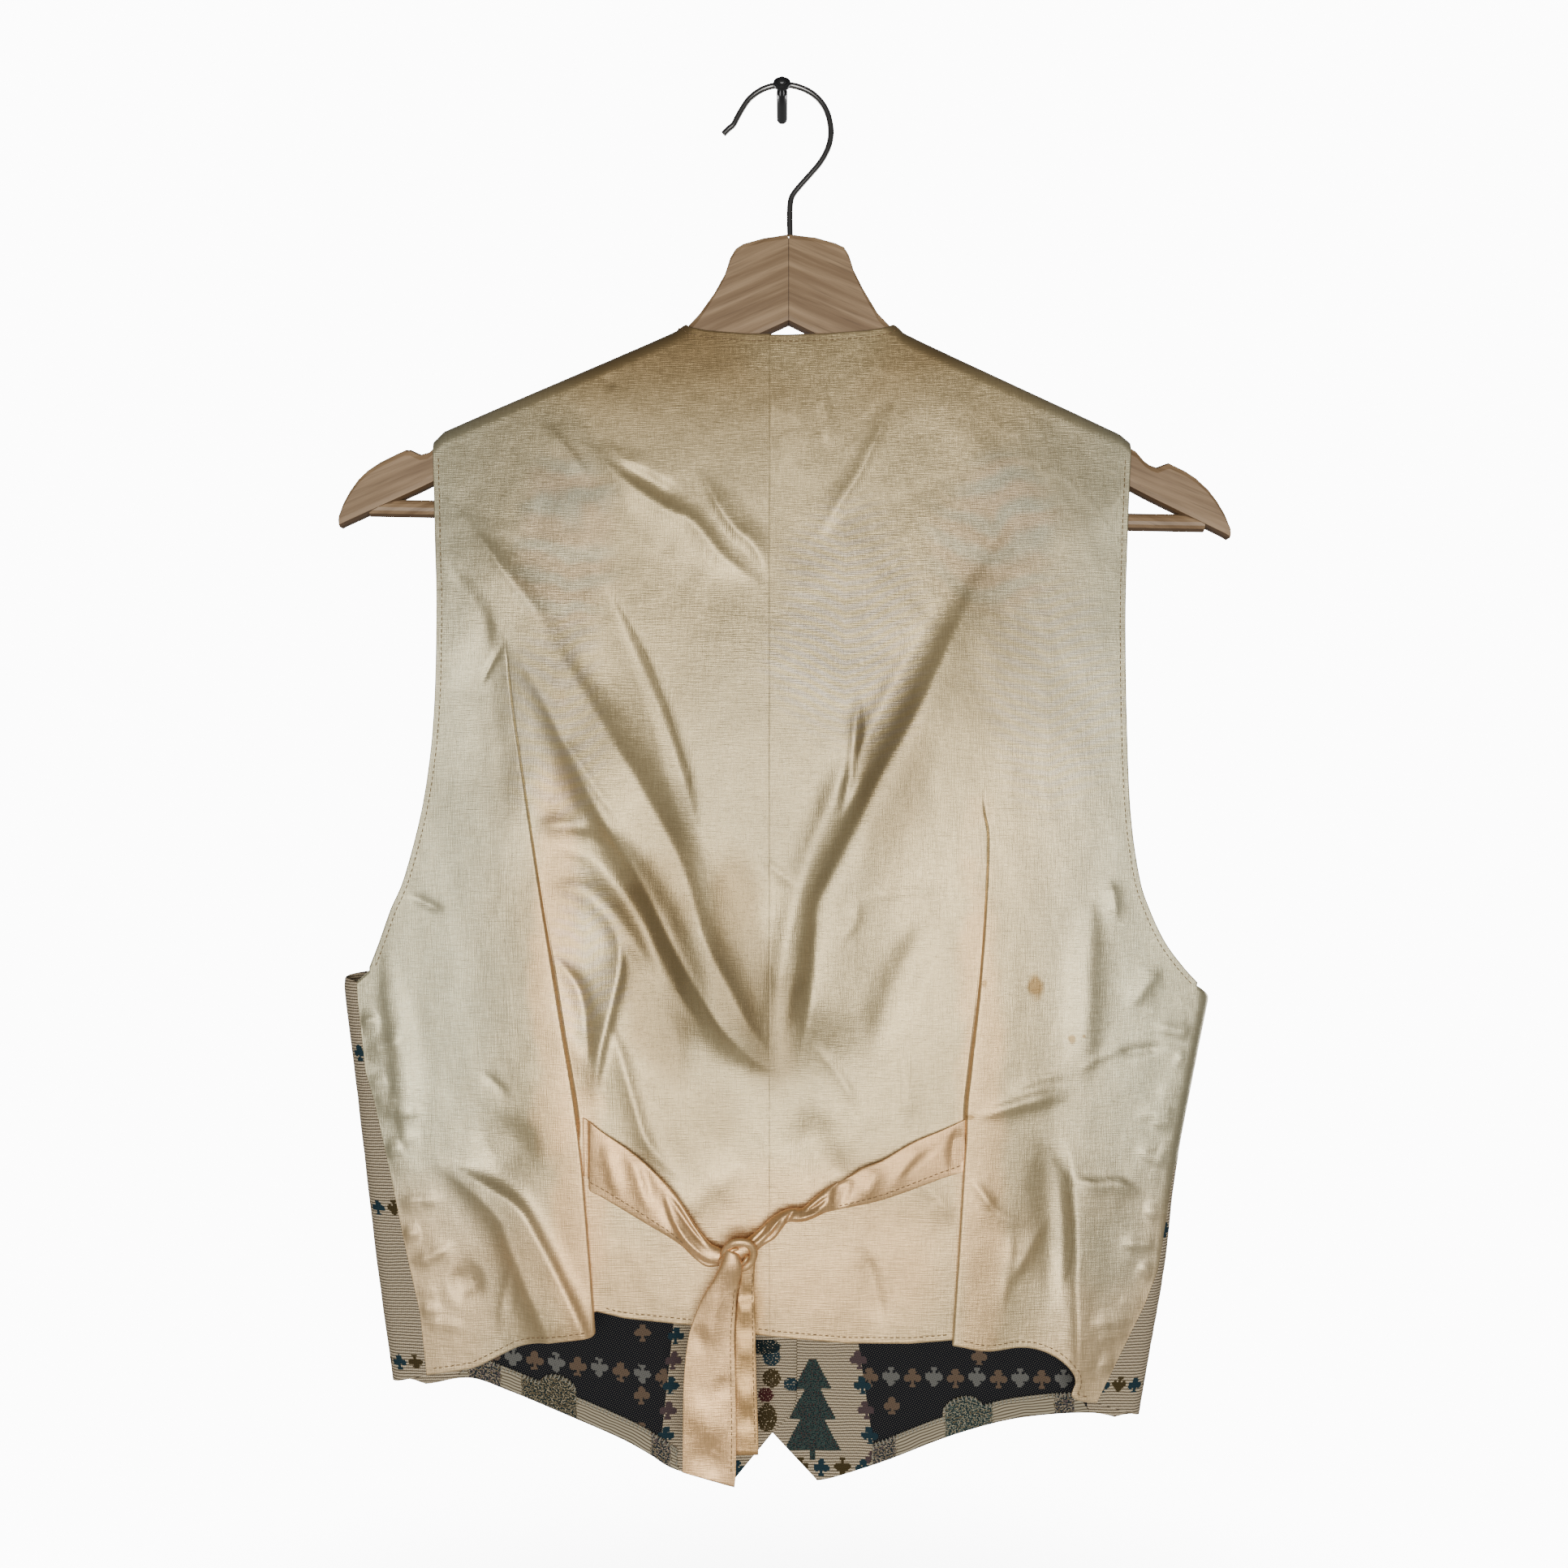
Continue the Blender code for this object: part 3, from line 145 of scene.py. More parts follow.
# Folds of the back as strokes: height (sunk if negative), width on the left of the way that the
# stroke runs, width on its right, crispness of the crest (1 sharp, 2 round), then the points of
# its middle line with the half width of its flat top (x, z, flat, which is 0 where it isn't said)
FOLDS = (
    (1.5, 7, 7, 1.3, ((-176, -204, 6), (-160, -225, 8), (-143, -248, 9), (-127, -271, 9),
        (-111, -297, 9), (-96, -324, 9))),
    (6.2, 9, 7, 1.25, ((-126, -272, 6), (-111, -297, 9.5), (-93, -330, 11), (-77, -358, 12),
        (-59, -391, 10.5), (-46, -424, 7.5), (-32, -450, 6.5), (-23, -465, 5.5), (-12, -478, 3.5),
        (1, -489, 0.5))),
    (-2.4, 4, 9, 1.6, ((-92, -240), (-84, -256), (-71, -288, 1), (-61, -314, 2), (-53, -342, 3),
        (-46, -366, 2.5), (-38, -382, 1))),
    (0.9, 2.5, 2, 1, ((-114, -318), (-104, -329), (-92, -347), (-80, -363), (-74, -368))),
    (-3.2, 8, 8, 2, ((-121, -377, 1), (-104, -374, 3), (-88, -380, 4), (-70, -402, 4), (-56, -428, 4),
        (-44, -452, 3), (-36, -466, 1))),
    (1.6, 5, 7, 1.5, ((-122, -365), (-104, -366), (-90, -370))),
    (1.8, 6, 6, 1.5, ((-118, -398), (-100, -397, 1), (-88, -406, 1), (-75, -422, 1), (-62, -440))),
    (3.2, 2.6, 9, 1.2, ((-86, -410), (-81, -421.7), (-80, -433.8), (-83.8, -452.5), (-89.8, -476.8),
        (-93.5, -506))),
    (-2.2, 4, 5, 1.6, ((-114.8, -427), (-100.1, -447.5), (-95.6, -476.8), (-93.5, -486))),
    (2.2, 4, 8, 1.3, ((-88, -455), (-80, -478), (-74, -499), (-66, -522), (-48, -541))),
    (-1.4, 10, 14, 2, ((-66, -420), (-60, -460, 2), (-48, -500, 1))),
    (6.2, 30, 8, 1.25, ((112, -219), (98.5, -241.5), (87, -264), (80.5, -277), (72, -295),
        (61.4, -315.5), (51.8, -332), (43.6, -348), (35.4, -365), (27, -381), (20.3, -395), (16, -405),
        (14.8, -421), (12.7, -454), (9, -476), (6, -492))),
    (-3, 8, 8, 2, ((86, -245, 1), (70, -275, 3), (56, -303, 3), (42, -330, 3), (30, -352, 3),
        (20, -376, 3), (12, -396, 2), (6, -420, 2), (0, -450, 2), (-4, -474, 1))),
    (2.4, 3, 3, 1.2, ((37, -300), (34, -329), (31, -348), (26, -365))),
    (-0.8, 2, 4, 1.3, ((-14, -377), (-4, -387), (8, -397))),
    (1.5, 3, 5, 1.2, ((57, -154), (48.7, -168.5), (42.5, -181), (36.6, -193), (28, -206), (19.5, -220),
        (13.4, -226))),
    (0.6, 1.5, 1.5, 1.2, ((42, -140), (49, -142), (57, -143.5))),
    (0.5, 1.8, 1.8, 1.2, ((53, -142), (44, -156), (36, -170))),
    (0.5, 2, 2, 1.2, ((17, -144), (20.7, -163.7), (22, -178), (24, -182))),
    (2.2, 4, 7, 1.3, ((-104, -174.5), (-92, -182), (-82.4, -191.6), (-67.7, -202.6), (-55.6, -211),
        (-44.7, -216), (-31.4, -232), (-21.5, -240), (-7, -250))),
    (-1.7, 4, 3, 2, ((-82, -188, 1), (-67.7, -196, 1.5), (-56, -203, 1.5), (-47, -210, 1))),
    (1.2, 3, 3, 1.2, ((-92, -176), (-76, -187), (-60, -195), (-47, -205))),
    (2, 7, 3, 1.3, ((-46, -190), (-37.4, -199), (-31.3, -210), (-24, -220), (-14.3, -229), (-7, -246))),
    (0.8, 2, 3, 1.2, ((-119, -166), (-107, -181), (-95, -198))),
    (-0.7, 2, 2, 1.4, ((-88.4, -141.8), (-86, -146), (-82.4, -151.5))),
    (1, 9, 3, 1.2, ((-160, -211), (-148, -225.7), (-137, -241.5), (-126, -255), (-114, -269.5))),
    (-1, 4, 4, 2, ((-167, -230.6), (-157.8, -246.4, 0.5), (-148, -262, 0.5), (-145, -282, 0.5))),
    (-0.9, 1.5, 1.5, 1.4, ((-135.9, -275), (-143.2, -285.3), (-149.2, -297.3))),
    (-1.8, 11, 14, 2, ((-147, -262, 1), (-147, -300, 2), (-143, -340, 2), (-138, -370, 1))),
    (-1.2, 2.5, 2.5, 1.6, ((-186, -399), (-177, -403.4), (-166, -409))),
    (4.6, 3.5, 5, 1.2, ((-177, -530, 0.3), (-162, -536, 2), (-146, -546, 4), (-134, -556, 6),
        (-127, -570, 7.5), (-118, -589, 8.5), (-108, -611, 9), (-96, -645, 9))),
    (0.9, 2, 3, 1.2, ((-130.8, -573.9), (-136.7, -595.8), (-139, -618))),
    (-1.7, 12, 12, 2, ((-156, -534), (-140, -528, 2), (-120, -512, 1))),
    (-0.8, 2, 2, 1.4, ((-149.2, -485.7), (-141, -493), (-133.8, -498.8))),
    (-1.6, 6, 6, 2, ((-166, -592, 1), (-156, -590, 2), (-146, -586, 1))),
    (1.8, 6, 5, 2, ((-196, -420), (-193, -445, 1), (-189, -470, 1), (-187, -500, 1), (-184, -535))),
    (1.8, 3, 3, 1.2, ((92, -509), (108, -504, 0.5), (126, -499, 1.5), (142, -496, 1.5))),
    (0.8, 1.6, 2.4, 1.2, ((106, -498), (124, -490), (142, -487))),
    (0.7, 1.6, 1.6, 1.2, ((142, -488), (158, -478), (176, -474))),
    (-1.1, 2.2, 2.2, 1.5, ((160.7, -477.5), (176.4, -476), (190.6, -474))),
    (0.9, 2.2, 2.2, 1.2, ((90, -537), (99.5, -548), (104, -554.4))),
    (1.2, 3, 6, 1.2, ((131, -556), (120, -574), (109, -592))),
    (3.4, 18, 4, 1.2, ((132.5, -510), (140.3, -529), (142, -548), (143.4, -572), (143.4, -595),
        (144.2, -619), (142.7, -655))),
    (-2.4, 5, 9, 2, ((124, -514), (132, -540, 1), (134, -570, 2), (133, -605, 1))),
    (1.6, 2, 6, 1.3, ((138, -536), (150, -541), (164, -541), (178, -548))),
    (1.2, 3, 4, 1.2, ((159.8, -390.7), (162, -402), (163.3, -414))),
    (1.6, 6, 8, 2, ((152, -395), (149, -430), (148, -470), (147, -500))),
    (1.4, 6, 4, 1.3, ((168.5, -457), (176, -447), (183, -438), (189, -436.6))),
    (0.9, 3, 8, 1.3, ((58, -532), (72, -544), (86, -562))),
    (-0.9, 3, 6, 1.6, ((38, -570), (44, -590, 0.5), (50, -612))),
    (0.8, 3, 4, 1.3, ((112, -560), (110, -580), (106, -606))),
    (0.9, 2, 5, 1.2, ((92, -540), (106, -556), (122, -562))),
    (0.8, 2, 4, 1.2, ((12, -470), (26, -486), (38, -506))),
    (0.8, 8, 3, 1.3, ((54, -470), (60, -492), (58, -516))),
    (-1.5, 8, 8, 2, ((72, -408), (58, -440, 1), (42, -482))),
    (0.6, 2, 5, 1.2, ((36, -398), (36, -408), (33, -416), (26, -424))),
    (0.5, 2, 2, 1.2, ((34, -402), (60, -398), (84, -397))),
    (1.2, 9, 9, 2, ((-60, -560), (-40, -545), (-20, -530))),
    (-1.6, 10, 10, 2, ((10, -500), (20, -530), (40, -545))),
)
# A fold rises over a share of its length, fades over its end, narrows to a share of its width at its
# tips, and adds nothing further away than so many widths
FOLD_RISE, FOLD_END, FOLD_TIP, FOLD_REACH = 0.36, 44.0, 0.45, 3.2
# Folds calm down towards the side folds and the neck edge, in millimetres
FOLD_MARGIN, FOLD_PAST = 24.0, 6
FLAT_ABOVE, CALM_HEIGHT = -134.0, 22.0
# Slight unevenness: how often, per mm, and how high
CRUMPLES = ((0.020, 0.65), (0.050, 0.28), (0.12, 0.09))
CRUMPLE_TALL, BACK_SEED, FRONT_SEED = 0.7, 3.0, 9.0
# Puckers along the side seams: pitch, length, height, width
PUCKER_PITCH, PUCKER_LENGTH, PUCKER_HEIGHT, PUCKER_WIDTH = 9.4, 23.0, 1.15, 2.3
PUCKER_MARGIN = 9.0
PUCKER_SPAN = {LEFT: (-462.0, -628.0), RIGHT: (-468.0, -640.0)}
# Grids: steps across the backs and the fronts, a panel's length, and how close steps lie to an edge
GRID_STEP, FRONT_STEP = 1.65, 3.2
PANEL_LENGTH = 480.0
EDGE_STEPS = (0.0, 1.0, 2.0, 3.2, 4.6, 6.4)
EDGE_ROUND = 0.7
PLEAT_RUN, PLEAT_TURN = 4, 5
SLOPE_FADE = 0.1
DART_GROOVE, GROOVE_WIDTH, GROOVE_FADE = 0.6, 0.5, 20
SEAM_DIP, DIP_WIDTH, SEAM_UNDER, SEAM_RUN_ON = 0.05, 1.1, 1.0, 1.0

# Hem facings and their serging
FACING_WIDTH, FACING_THICK, FACING_GAP, FACING_STEPS = 9.5, 0.9, 0.15, 260
FACING_ARCH = {LEFT: (-118.0, 9.0), RIGHT: (93.0, 9.5)}
FACING_SPAN = {LEFT: (0.16, 0.86), RIGHT: (0.18, 0.90)}
SERGE_PITCH, SERGE_LENGTH, SERGE_R = 2.0, 2.8, 0.42
SERGE_REACH = (-1.9, -0.6, 0.9)

# Tie bands: upper edge, lower edge, lift off the back, and how much rounder than flat the band is
TIE_BAND = {
    LEFT: (
        (-98.5, -508.8, -98, -537.5, 0.3, 0), (-95.8, -510.2, -95.6, -539, 0.5, 0),
        (-94.6, -511, -95, -544, 1.5, 0.1), (-88.3, -515.8, -89.5, -546.8, 2.2, 0.3),
        (-74.4, -524.9, -77, -553.9, 3.2, 0.6), (-63.7, -534, -66.5, -560, 4, 0.9),
        (-53.4, -544.5, -56.5, -565.6, 4.8, 1.4), (-47.1, -553.6, -49.5, -570.3, 5.2, 2),
        (-42, -561.5, -43.5, -576, 5.4, 2.4), (-36, -568.5, -37.5, -580, 5.6, 2.6),
        (-30, -571.5, -31.5, -579.5, 5.6, 2.4),
    ),
    RIGHT: (
        (89, -509.5, 88.6, -535, 0.3, 0), (84, -511.8, 83.5, -536.4, 0.8, 0.2),
        (77, -514.8, 76, -538.6, 1.4, 0.4), (62.4, -520.7, 62, -543.6, 2.4, 0.6),
        (47.9, -528.9, 48.5, -548, 3.2, 0.8), (37.9, -532.6, 38.5, -550.3, 3.8, 1),
        (29.7, -538, 28, -552.2, 4.4, 1.4), (21.5, -541.7, 20.5, -553.8, 4.8, 2.4),
        (14.3, -547.1, 13.4, -556.9, 5.2, 3.4), (9, -551.4, 8, -558.2, 5.5, 3.6),
        (3, -551.8, 2, -558.3, 5.8, 3.6), (-1.8, -553.4, -1, -561.5, 6, 3.6),
        (-6.3, -556.2, -4.5, -566, 6.2, 3.8), (-12.7, -562, -10, -569.4, 6.4, 3.8),
        (-19, -567, -15.5, -574, 6.4, 3.4),
    ),
}
BAND_LIFT, BAND_STEPS, BAND_ACROSS, TUBE_STEPS = 0.8, 6, 22, 8
BAND_STITCHED = {LEFT: (8, 44), RIGHT: (2, 40)}
# Tails: left edge, right edge, depth, roundness
TAIL_FRONT = (
    (-28.5, -569, -21.5, -572, 22.6, 3), (-30.5, -577, -20, -578, 23.4, 2.4),
    (-34.5, -585.5, -21.6, -586, 22.8, 1.4), (-38.6, -592, -22.8, -592.5, 22.2, 0.9),
    (-42.5, -601, -23.3, -601, 21.8, 0.6), (-46.3, -613.6, -23.9, -613.6, 21.6, 0.4),
    (-48.4, -633, -23.5, -633, 21.7, 0.3), (-48.9, -657, -23, -657, 21.9, 0.3),
    (-49, -676, -23.3, -678, 21.9, 0.2), (-49.2, -678, -23.9, -685.2, 21.9, 0.2),
)
TAIL_REAR = (
    (-22, -577.5, -14, -577.5, 18.9, 1.2), (-21.6, -590, -14.6, -590, 18.5, 0.7),
    (-23.4, -603, -14, -603, 18.2, 0.5), (-24.4, -634, -13.4, -634, 18.1, 0.4),
    (-24.8, -658, -12.6, -658, 18.1, 0.4), (-24.6, -671, -12.4, -671, 18.1, 0.3),
)
# Folds of the ties, in the form that FOLDS has
BAND_FOLDS = {
    LEFT: (
        (-1.3, 0.9, 3, 1.4, ((-60, -540), (-57.2, -553.8), (-51.9, -562.9), (-50, -569.2))),
        (1.7, 1.5, 2.2, 1.5, ((-57, -552), (-50, -562.9), (-43.6, -570.2), (-35, -576.6))),
        (-1.5, 1.3, 1.3, 1.6, ((-58.2, -543), (-51.8, -551.9), (-44.5, -562.4), (-35, -573))),
        (-0.9, 0.9, 0.9, 1.6, ((-45, -571.5), (-39, -577), (-31, -578))),
        (1.1, 3, 4, 1.7, ((-88, -517), (-84, -532), (-80, -549))),
        (0.9, 3, 3, 1.7, ((-79, -522.5), (-72, -534), (-66, -556))),
        (-0.7, 2.4, 2.4, 1.7, ((-70, -529), (-66, -540), (-62, -552))),
    ),
    RIGHT: (
        (-1.5, 3.2, 2.6, 2.4, ((32, -534, 1), (28, -543, 1.6), (24, -553, 1))),
        (-0.9, 3, 3, 3, ((86, -512, 0.5), (84.8, -524, 1.5), (84, -537, 1.5))),
        (-0.45, 0.7, 0.7, 1.4, ((78.8, -518.9), (64, -531.5), (51.5, -543.5))),
        (1, 4, 3, 1.6, ((48, -531), (42, -540), (38, -549))),
        (0.8, 3, 3, 1.6, ((70, -520), (60, -530), (52, -545))),
        (-1.6, 1, 1.2, 1.5, ((22, -545), (16, -550), (9, -553.6))),
        (1.2, 1.1, 1.4, 1.5, ((20, -551.5), (13, -554.5), (4, -556.4))),
        (-1.7, 1, 1, 1.5, ((6, -551), (2.6, -555), (0.5, -559.5))),
        (1.2, 1, 1.2, 1.5, ((0, -553), (-4.5, -558.5), (-9, -565))),
        (-1.4, 0.8, 0.8, 1.5, ((-1.5, -557), (-6, -563.5), (-12, -568))),
        (-1.2, 0.8, 0.8, 1.5, ((-6.5, -556.5), (-10.5, -562.5), (-17, -568.5))),
    ),
}
TAIL_FOLDS = (
    (1, 4, 5, 1.8, ((-30, -582), (-34, -600), (-37, -625))),
    (-1, 4, 4, 2, ((-32, -634, 1), (-27, -640, 1.5))),
    (0.9, 4, 5, 1.8, ((-47, -640, 1), (-38, -652, 2), (-28, -664, 1))),
    (-0.8, 5, 5, 2, ((-44, -664, 1), (-36, -672, 1), (-28, -680, 1))),
    (-0.7, 3, 3, 2, ((-44, -606), (-40, -614, 1), (-36, -620))),
)
REAR_CREASES = (-594, -601, -611, -619, -632, -643, -655)
# Knot: a core, and the turn of band that goes round it; x, depth, z, half width across, half height
KNOT_CORE = (
    (-31, 19.6, -574, 2.6, 2), (-27, 20.2, -573.6, 4.2, 3), (-22.5, 20.4, -571.8, 4.8, 3.6),
    (-18, 20.2, -569.8, 4.4, 3.2), (-14, 19.6, -567.6, 3, 2.4),
)
KNOT_LOOP = (
    (-29.6, 22.4, -572.6, 1.5, 1), (-27.2, 24.4, -568.4, 1.8, 1.2), (-22.8, 25.6, -565.9, 2, 1.3),
    (-17.6, 25.2, -566.6, 2, 1.4), (-14.8, 23.8, -570.4, 2.1, 1.5), (-15.6, 22.8, -575.4, 2, 1.4),
    (-18.8, 22.4, -578.8, 1.8, 1.3), (-22, 21.4, -580, 1.2, 0.9),
)
KNOT_FOLDS = (((-31.5, 21.2, -576.8, 0.8, 0.8), (-28.0, 23.4, -573.0, 1.1, 1.0),
               (-25.0, 24.4, -570.0, 1.0, 0.9), (-21.6, 23.6, -569.6, 0.7, 0.7)),
              ((-17.4, 23.4, -572.4, 0.8, 0.8), (-18.6, 24.2, -575.0, 1.0, 0.9),
               (-20.8, 23.2, -577.6, 0.8, 0.8)))

# Stitching: pitch, length of a stitch, thickness of the thread; a pitch so long that one stitch is made
STITCH_PITCH, STITCH_LENGTH, THREAD_R, SINGLE = 2.9, 2.1, 0.25, 9.0
# Distance of the stitches from the neck, armhole and hem edges, and how far along an edge they run
NECK_IN, ARMHOLE_IN, HEM_IN, STITCHED = 3.3, 2.6, 2.8, 0.97
# A stitch: share of its length, thickness and height there in thread radii
STITCH_SHAPE = ((0.0, 0.15, -0.5), (0.12, 0.8, 0.3), (0.5, 1.0, 0.75), (0.88, 0.8, 0.3),
                (1.0, 0.15, -0.5))

# Hook and peg
WIRE_R = 1.45
HOOK_POINTS = ((3, -73.3), (2.8, -63.5), (3.2, -56.7), (4.6, -52.8), (8.1, -48.4), (12.9, -43),
               (17.8, -37.2), (21.2, -31.3), (23, -25.5), (23.2, -19.6), (21.7, -12.8),
               (18.8, -7.4), (14.4, -3), (9, -0.1), (3.2, 1.4), (-2.7, 1.4), (-7.6, 0.5),
               (-12.4, -1.6), (-17.3, -5.5), (-20.7, -10.3), (-23.2, -14.7), (-25.1, -18.2),
               (-27.6, -20.4), (-30, -22.8))
PEG_X = -1.0
PEG_RINGS = ((-9.0, 0.2, 0.3, 0.3), (-9.0, 0.2, 1.6, 1.6), (-8.7, 0.2, 2.0, 2.0),
             (-7.0, 0.2, 2.1, 2.1), (-6.7, 0.2, 3.4, 2.3), (-6.4, 0.2, 4.2, 2.7),
             (-4.6, 0.2, 4.45, 3.0), (-2.6, 0.2, 4.2, 2.7), (-2.3, -0.6, 1.9, 1.7),
             (-2.1, -1.5, 1.2, 1.2), (3.6, -1.5, 1.2, 1.2), (4.0, -0.6, 2.3, 2.3),
             (4.4, -0.3, 2.7, 2.7), (38.0, -0.3, 2.7, 2.7))

# Hanger's mitre and the fall of its arms' grain
MITRE_X, MITRE_TOP, MITRE_FOOT, MITRE_HALF_DEPTH, GLUE_HALF = 2.3, -76.0, -117.0, 5.6, 0.15
ARM_FALL = 0.42

# Buttons on the front that isn't seen
BUTTON_X, BUTTON_TOP_Z, BUTTON_PITCH, BUTTON_COUNT = -5.0, -372.0, 62.0, 5
BUTTON_R, BUTTON_H = 7.5, 2.6
BUTTON_PROFILE = ((0.01, 0.0), (0.8, 0.0), (0.95, 0.12), (1.0, 0.35), (1.0, 0.75), (0.95, 0.92),
                  (0.86, 1.0), (0.76, 0.94), (0.66, 0.74), (0.5, 0.66), (0.01, 0.62))
BUTTON_FACE, CROSS_OUT = 0.66, 1.7
BUTTON_HOLE_R, BUTTON_HOLE_OUT = 0.95, 1.9
BUTTON_HOLE_PROFILE = ((0.9, -0.2), (1.0, 0.06), (0.75, 0.08), (0.02, 0.02))

# Colours of the satin
SATIN_CREAM = (0.70, 0.545, 0.29)
SATIN_TIE = (0.97, 0.57, 0.25)
SATIN_PEACH = (0.88, 0.54, 0.25)
SATIN_GOLD = (0.62, 0.36, 0.13)
# The brown is the neck's browning, and also painted shade in the satin's patches below
SATIN_BROWN = (0.25, 0.155, 0.062)
SATIN_GREY = (0.58, 0.55, 0.37)
SATIN_SHADE = (0.27, 0.19, 0.08)
SATIN_STAIN = (0.27, 0.14, 0.03)
# Painted shade: a dusky colour that the patches below lay over the satin
SATIN_PAINTED_SHADE = (0.33, 0.28, 0.165)
SHIMMER_PINK, SHIMMER_TEAL = (0.62, 0.36, 0.24), (0.40, 0.52, 0.48)
SHIMMER_YELLOW, SHIMMER_LILAC = (0.74, 0.58, 0.26), (0.55, 0.52, 0.56)
# Stains, tints and painted shade on the satin: the brown and dusky ovals are painted shade that darkens fold
# valleys and broad places of the back, the stain ovals are stains, the peach and gold ones are tints;
# middle, half sizes, strength, colour
SATIN_PATCHES = (((-62, -430), (26, 70), 0.7, SATIN_BROWN), ((-24, -428), (20, 60), 0.7, SATIN_BROWN),
                 ((-118, -415), (18, 34), 0.35, SATIN_BROWN), ((36, -548), (46, 26), 0.2, SATIN_BROWN),
                 ((-52, -508), (34, 30), 0.3, SATIN_BROWN), ((-112, -440), (14, 130), 0.6, SATIN_PEACH),
                 ((-100, -560), (16, 90), 0.7, SATIN_PEACH), ((96, -510), (14, 170), 0.6, SATIN_PEACH),
                 ((0, -575), (80, 50), 0.4, SATIN_PEACH), ((-16.5, -630), (9, 75), 0.7, SATIN_GOLD),
                 ((123.5, -445), (4.6, 7), 0.85, SATIN_STAIN), ((141, -470.5), (2.2, 2.2), 0.7, SATIN_STAIN),
                 ((147, -469), (1.1, 1.1), 0.7, SATIN_STAIN), ((98, -443), (1.8, 2.4), 0.6, SATIN_STAIN),
                 ((91, -508), (2.6, 1.4), 0.7, SATIN_STAIN), ((-5, -462), (18, 42), 0.65, SATIN_BROWN),
                 ((-130, -188), (50, 30), 0.55, SATIN_PAINTED_SHADE), ((134, -196), (50, 34), 0.55, SATIN_PAINTED_SHADE),
                 ((0, -330), (70, 80), 0.45, SATIN_PAINTED_SHADE), ((50, -330), (22, 60), 0.35, SATIN_BROWN),
                 ((0, -450), (80, 70), 0.3, SATIN_PAINTED_SHADE), ((142, -530), (40, 60), 0.25, SATIN_PAINTED_SHADE))
# Watered shimmer of the satin: middle, half sizes, pitch of the bands, strength, the two colours
SHIMMERS = (((-107, -228), (30, 42), 17.0, 0.24, (SHIMMER_PINK, SHIMMER_TEAL)),
            ((103, -226), (34, 44), 16.0, 0.24, (SHIMMER_PINK, SHIMMER_TEAL)),
            ((-112, -312), (26, 58), 7.6, 0.2, (SHIMMER_YELLOW, SHIMMER_LILAC)),
            ((30, -270), (42, 66), 5.0, 0.3, (SHIMMER_YELLOW, SHIMMER_LILAC)),
            ((130, -300), (40, 56), 5.4, 0.22, (SHIMMER_YELLOW, SHIMMER_LILAC)),
            ((-98, -430), (20, 50), 6.4, 0.2, (SHIMMER_YELLOW, SHIMMER_LILAC)))
PATCH_RAG, SHIMMER_WARP, SHIMMER_LEAN = 700.0, 3.0, -0.3
# Where the satin turns browner, peachier and greyer: heights, and distance out, in metres
BROWN_HEIGHTS, PEACH_HEIGHTS, GREY_OUT = (-0.20, -0.125), (-0.50, -0.59), (0.12, 0.2)
THREAD_LONG, THREAD_FINE = 140.0, 2600.0

# Colours of the rest
# The pore colour also serves as painted shade on the hanger's underside
WOOD_LIGHT, WOOD_DARK, WOOD_PORE_AND_SHADE = (0.50, 0.33, 0.18), (0.25, 0.15, 0.072), (0.08, 0.04, 0.018)
THREAD, SERGING = (0.27, 0.17, 0.08), (0.33, 0.31, 0.24)
# The holes' colour is painted shade: near-black caps stand in for the buttons' holes
HORN, HOLE_SHADE = (0.06, 0.04, 0.025), (0.01, 0.008, 0.006)
STEEL, ENAMEL, OLD_GLUE = (0.30, 0.29, 0.275), (0.015, 0.015, 0.016), (0.10, 0.055, 0.03)
TAPESTRY_CREAM, TAPESTRY_LINE = (0.74, 0.60, 0.40), (0.11, 0.08, 0.045)
FACING_CREAM = (0.50, 0.43, 0.29)
NAVY, NAVY_DOT = (0.004, 0.005, 0.010), (0.13, 0.12, 0.095)
TEAL, OLIVE, MAUVE = (0.018, 0.045, 0.058), (0.07, 0.048, 0.016), (0.10, 0.065, 0.065)
TAN, GREY = (0.17, 0.115, 0.075), (0.18, 0.175, 0.155)
FIR_GREEN, FIR_DARK, FIR_RED = (0.06, 0.095, 0.08), (0.010, 0.022, 0.024), (0.08, 0.02, 0.018)

# Tapestry, in millimetres of the flat cloth. A pair is for the left front and the right one
RIB_PITCH, TWILL_PITCH, WEAVE_CELL = 1.45, 1.5, 0.72
BLOCK_TOP, BLOCK_HEIGHT, NAVY_OUT = -545.0, 152.0, 152.0
EDGE_LEVEL, EDGE_OUT, EDGE_SLANT = -628.0, (56.8, 37.6), (-0.106, -0.148)
# Rows of clubs: height, first club, then pitch and width
NAVY_ROW, NAVY_ROW_CLIMB, NAVY_ROW_PIVOT = -644.6, (0.14, 0.0), 61.0
NAVY_FIRST, NAVY_CLUBS = (61.0, 42.8), (10.8, 8.6)
HEM_ROW, HEM_ROW_OUT, HEM_FIRST, HEM_CLUBS = -690.6, 45.0, 18.5, (10.6, 8.0)
STRIP_ROW, STRIP_PITCH, STRIP_FIRST, STRIP_CLUBS = (-629.9, -641.1), 76.0, (212.5, 180.5), (8.0, 6.9)
STRIP_LEVEL, STRIP_LEAN, STRIP_GAP = -600.0, 0.119, 4.0
BORDER_LEVEL, BORDER_IN, BORDER_CLUBS = -648.8, 1.6, (12.6, 8.4)
# Fir trees: apex, height, half width
FIRS = ((14.0, -636.0, 46.0, 15.0), (-20.0, -560.0, 46.0, 15.0), (100.0, -440.0, 46.0, 15.0),
        (-100.0, -440.0, 46.0, 15.0), (100.0, -480.0, 40.0, 13.0), (-100.0, -480.0, 40.0, 13.0))
TAN_CLUBS = ((54.1, -659.0), (97.9, -634.0), (-71.7, -622.0), (-72.2, -653.5), (-72.2, -671.8))
TAN_WIDTH = 8.0
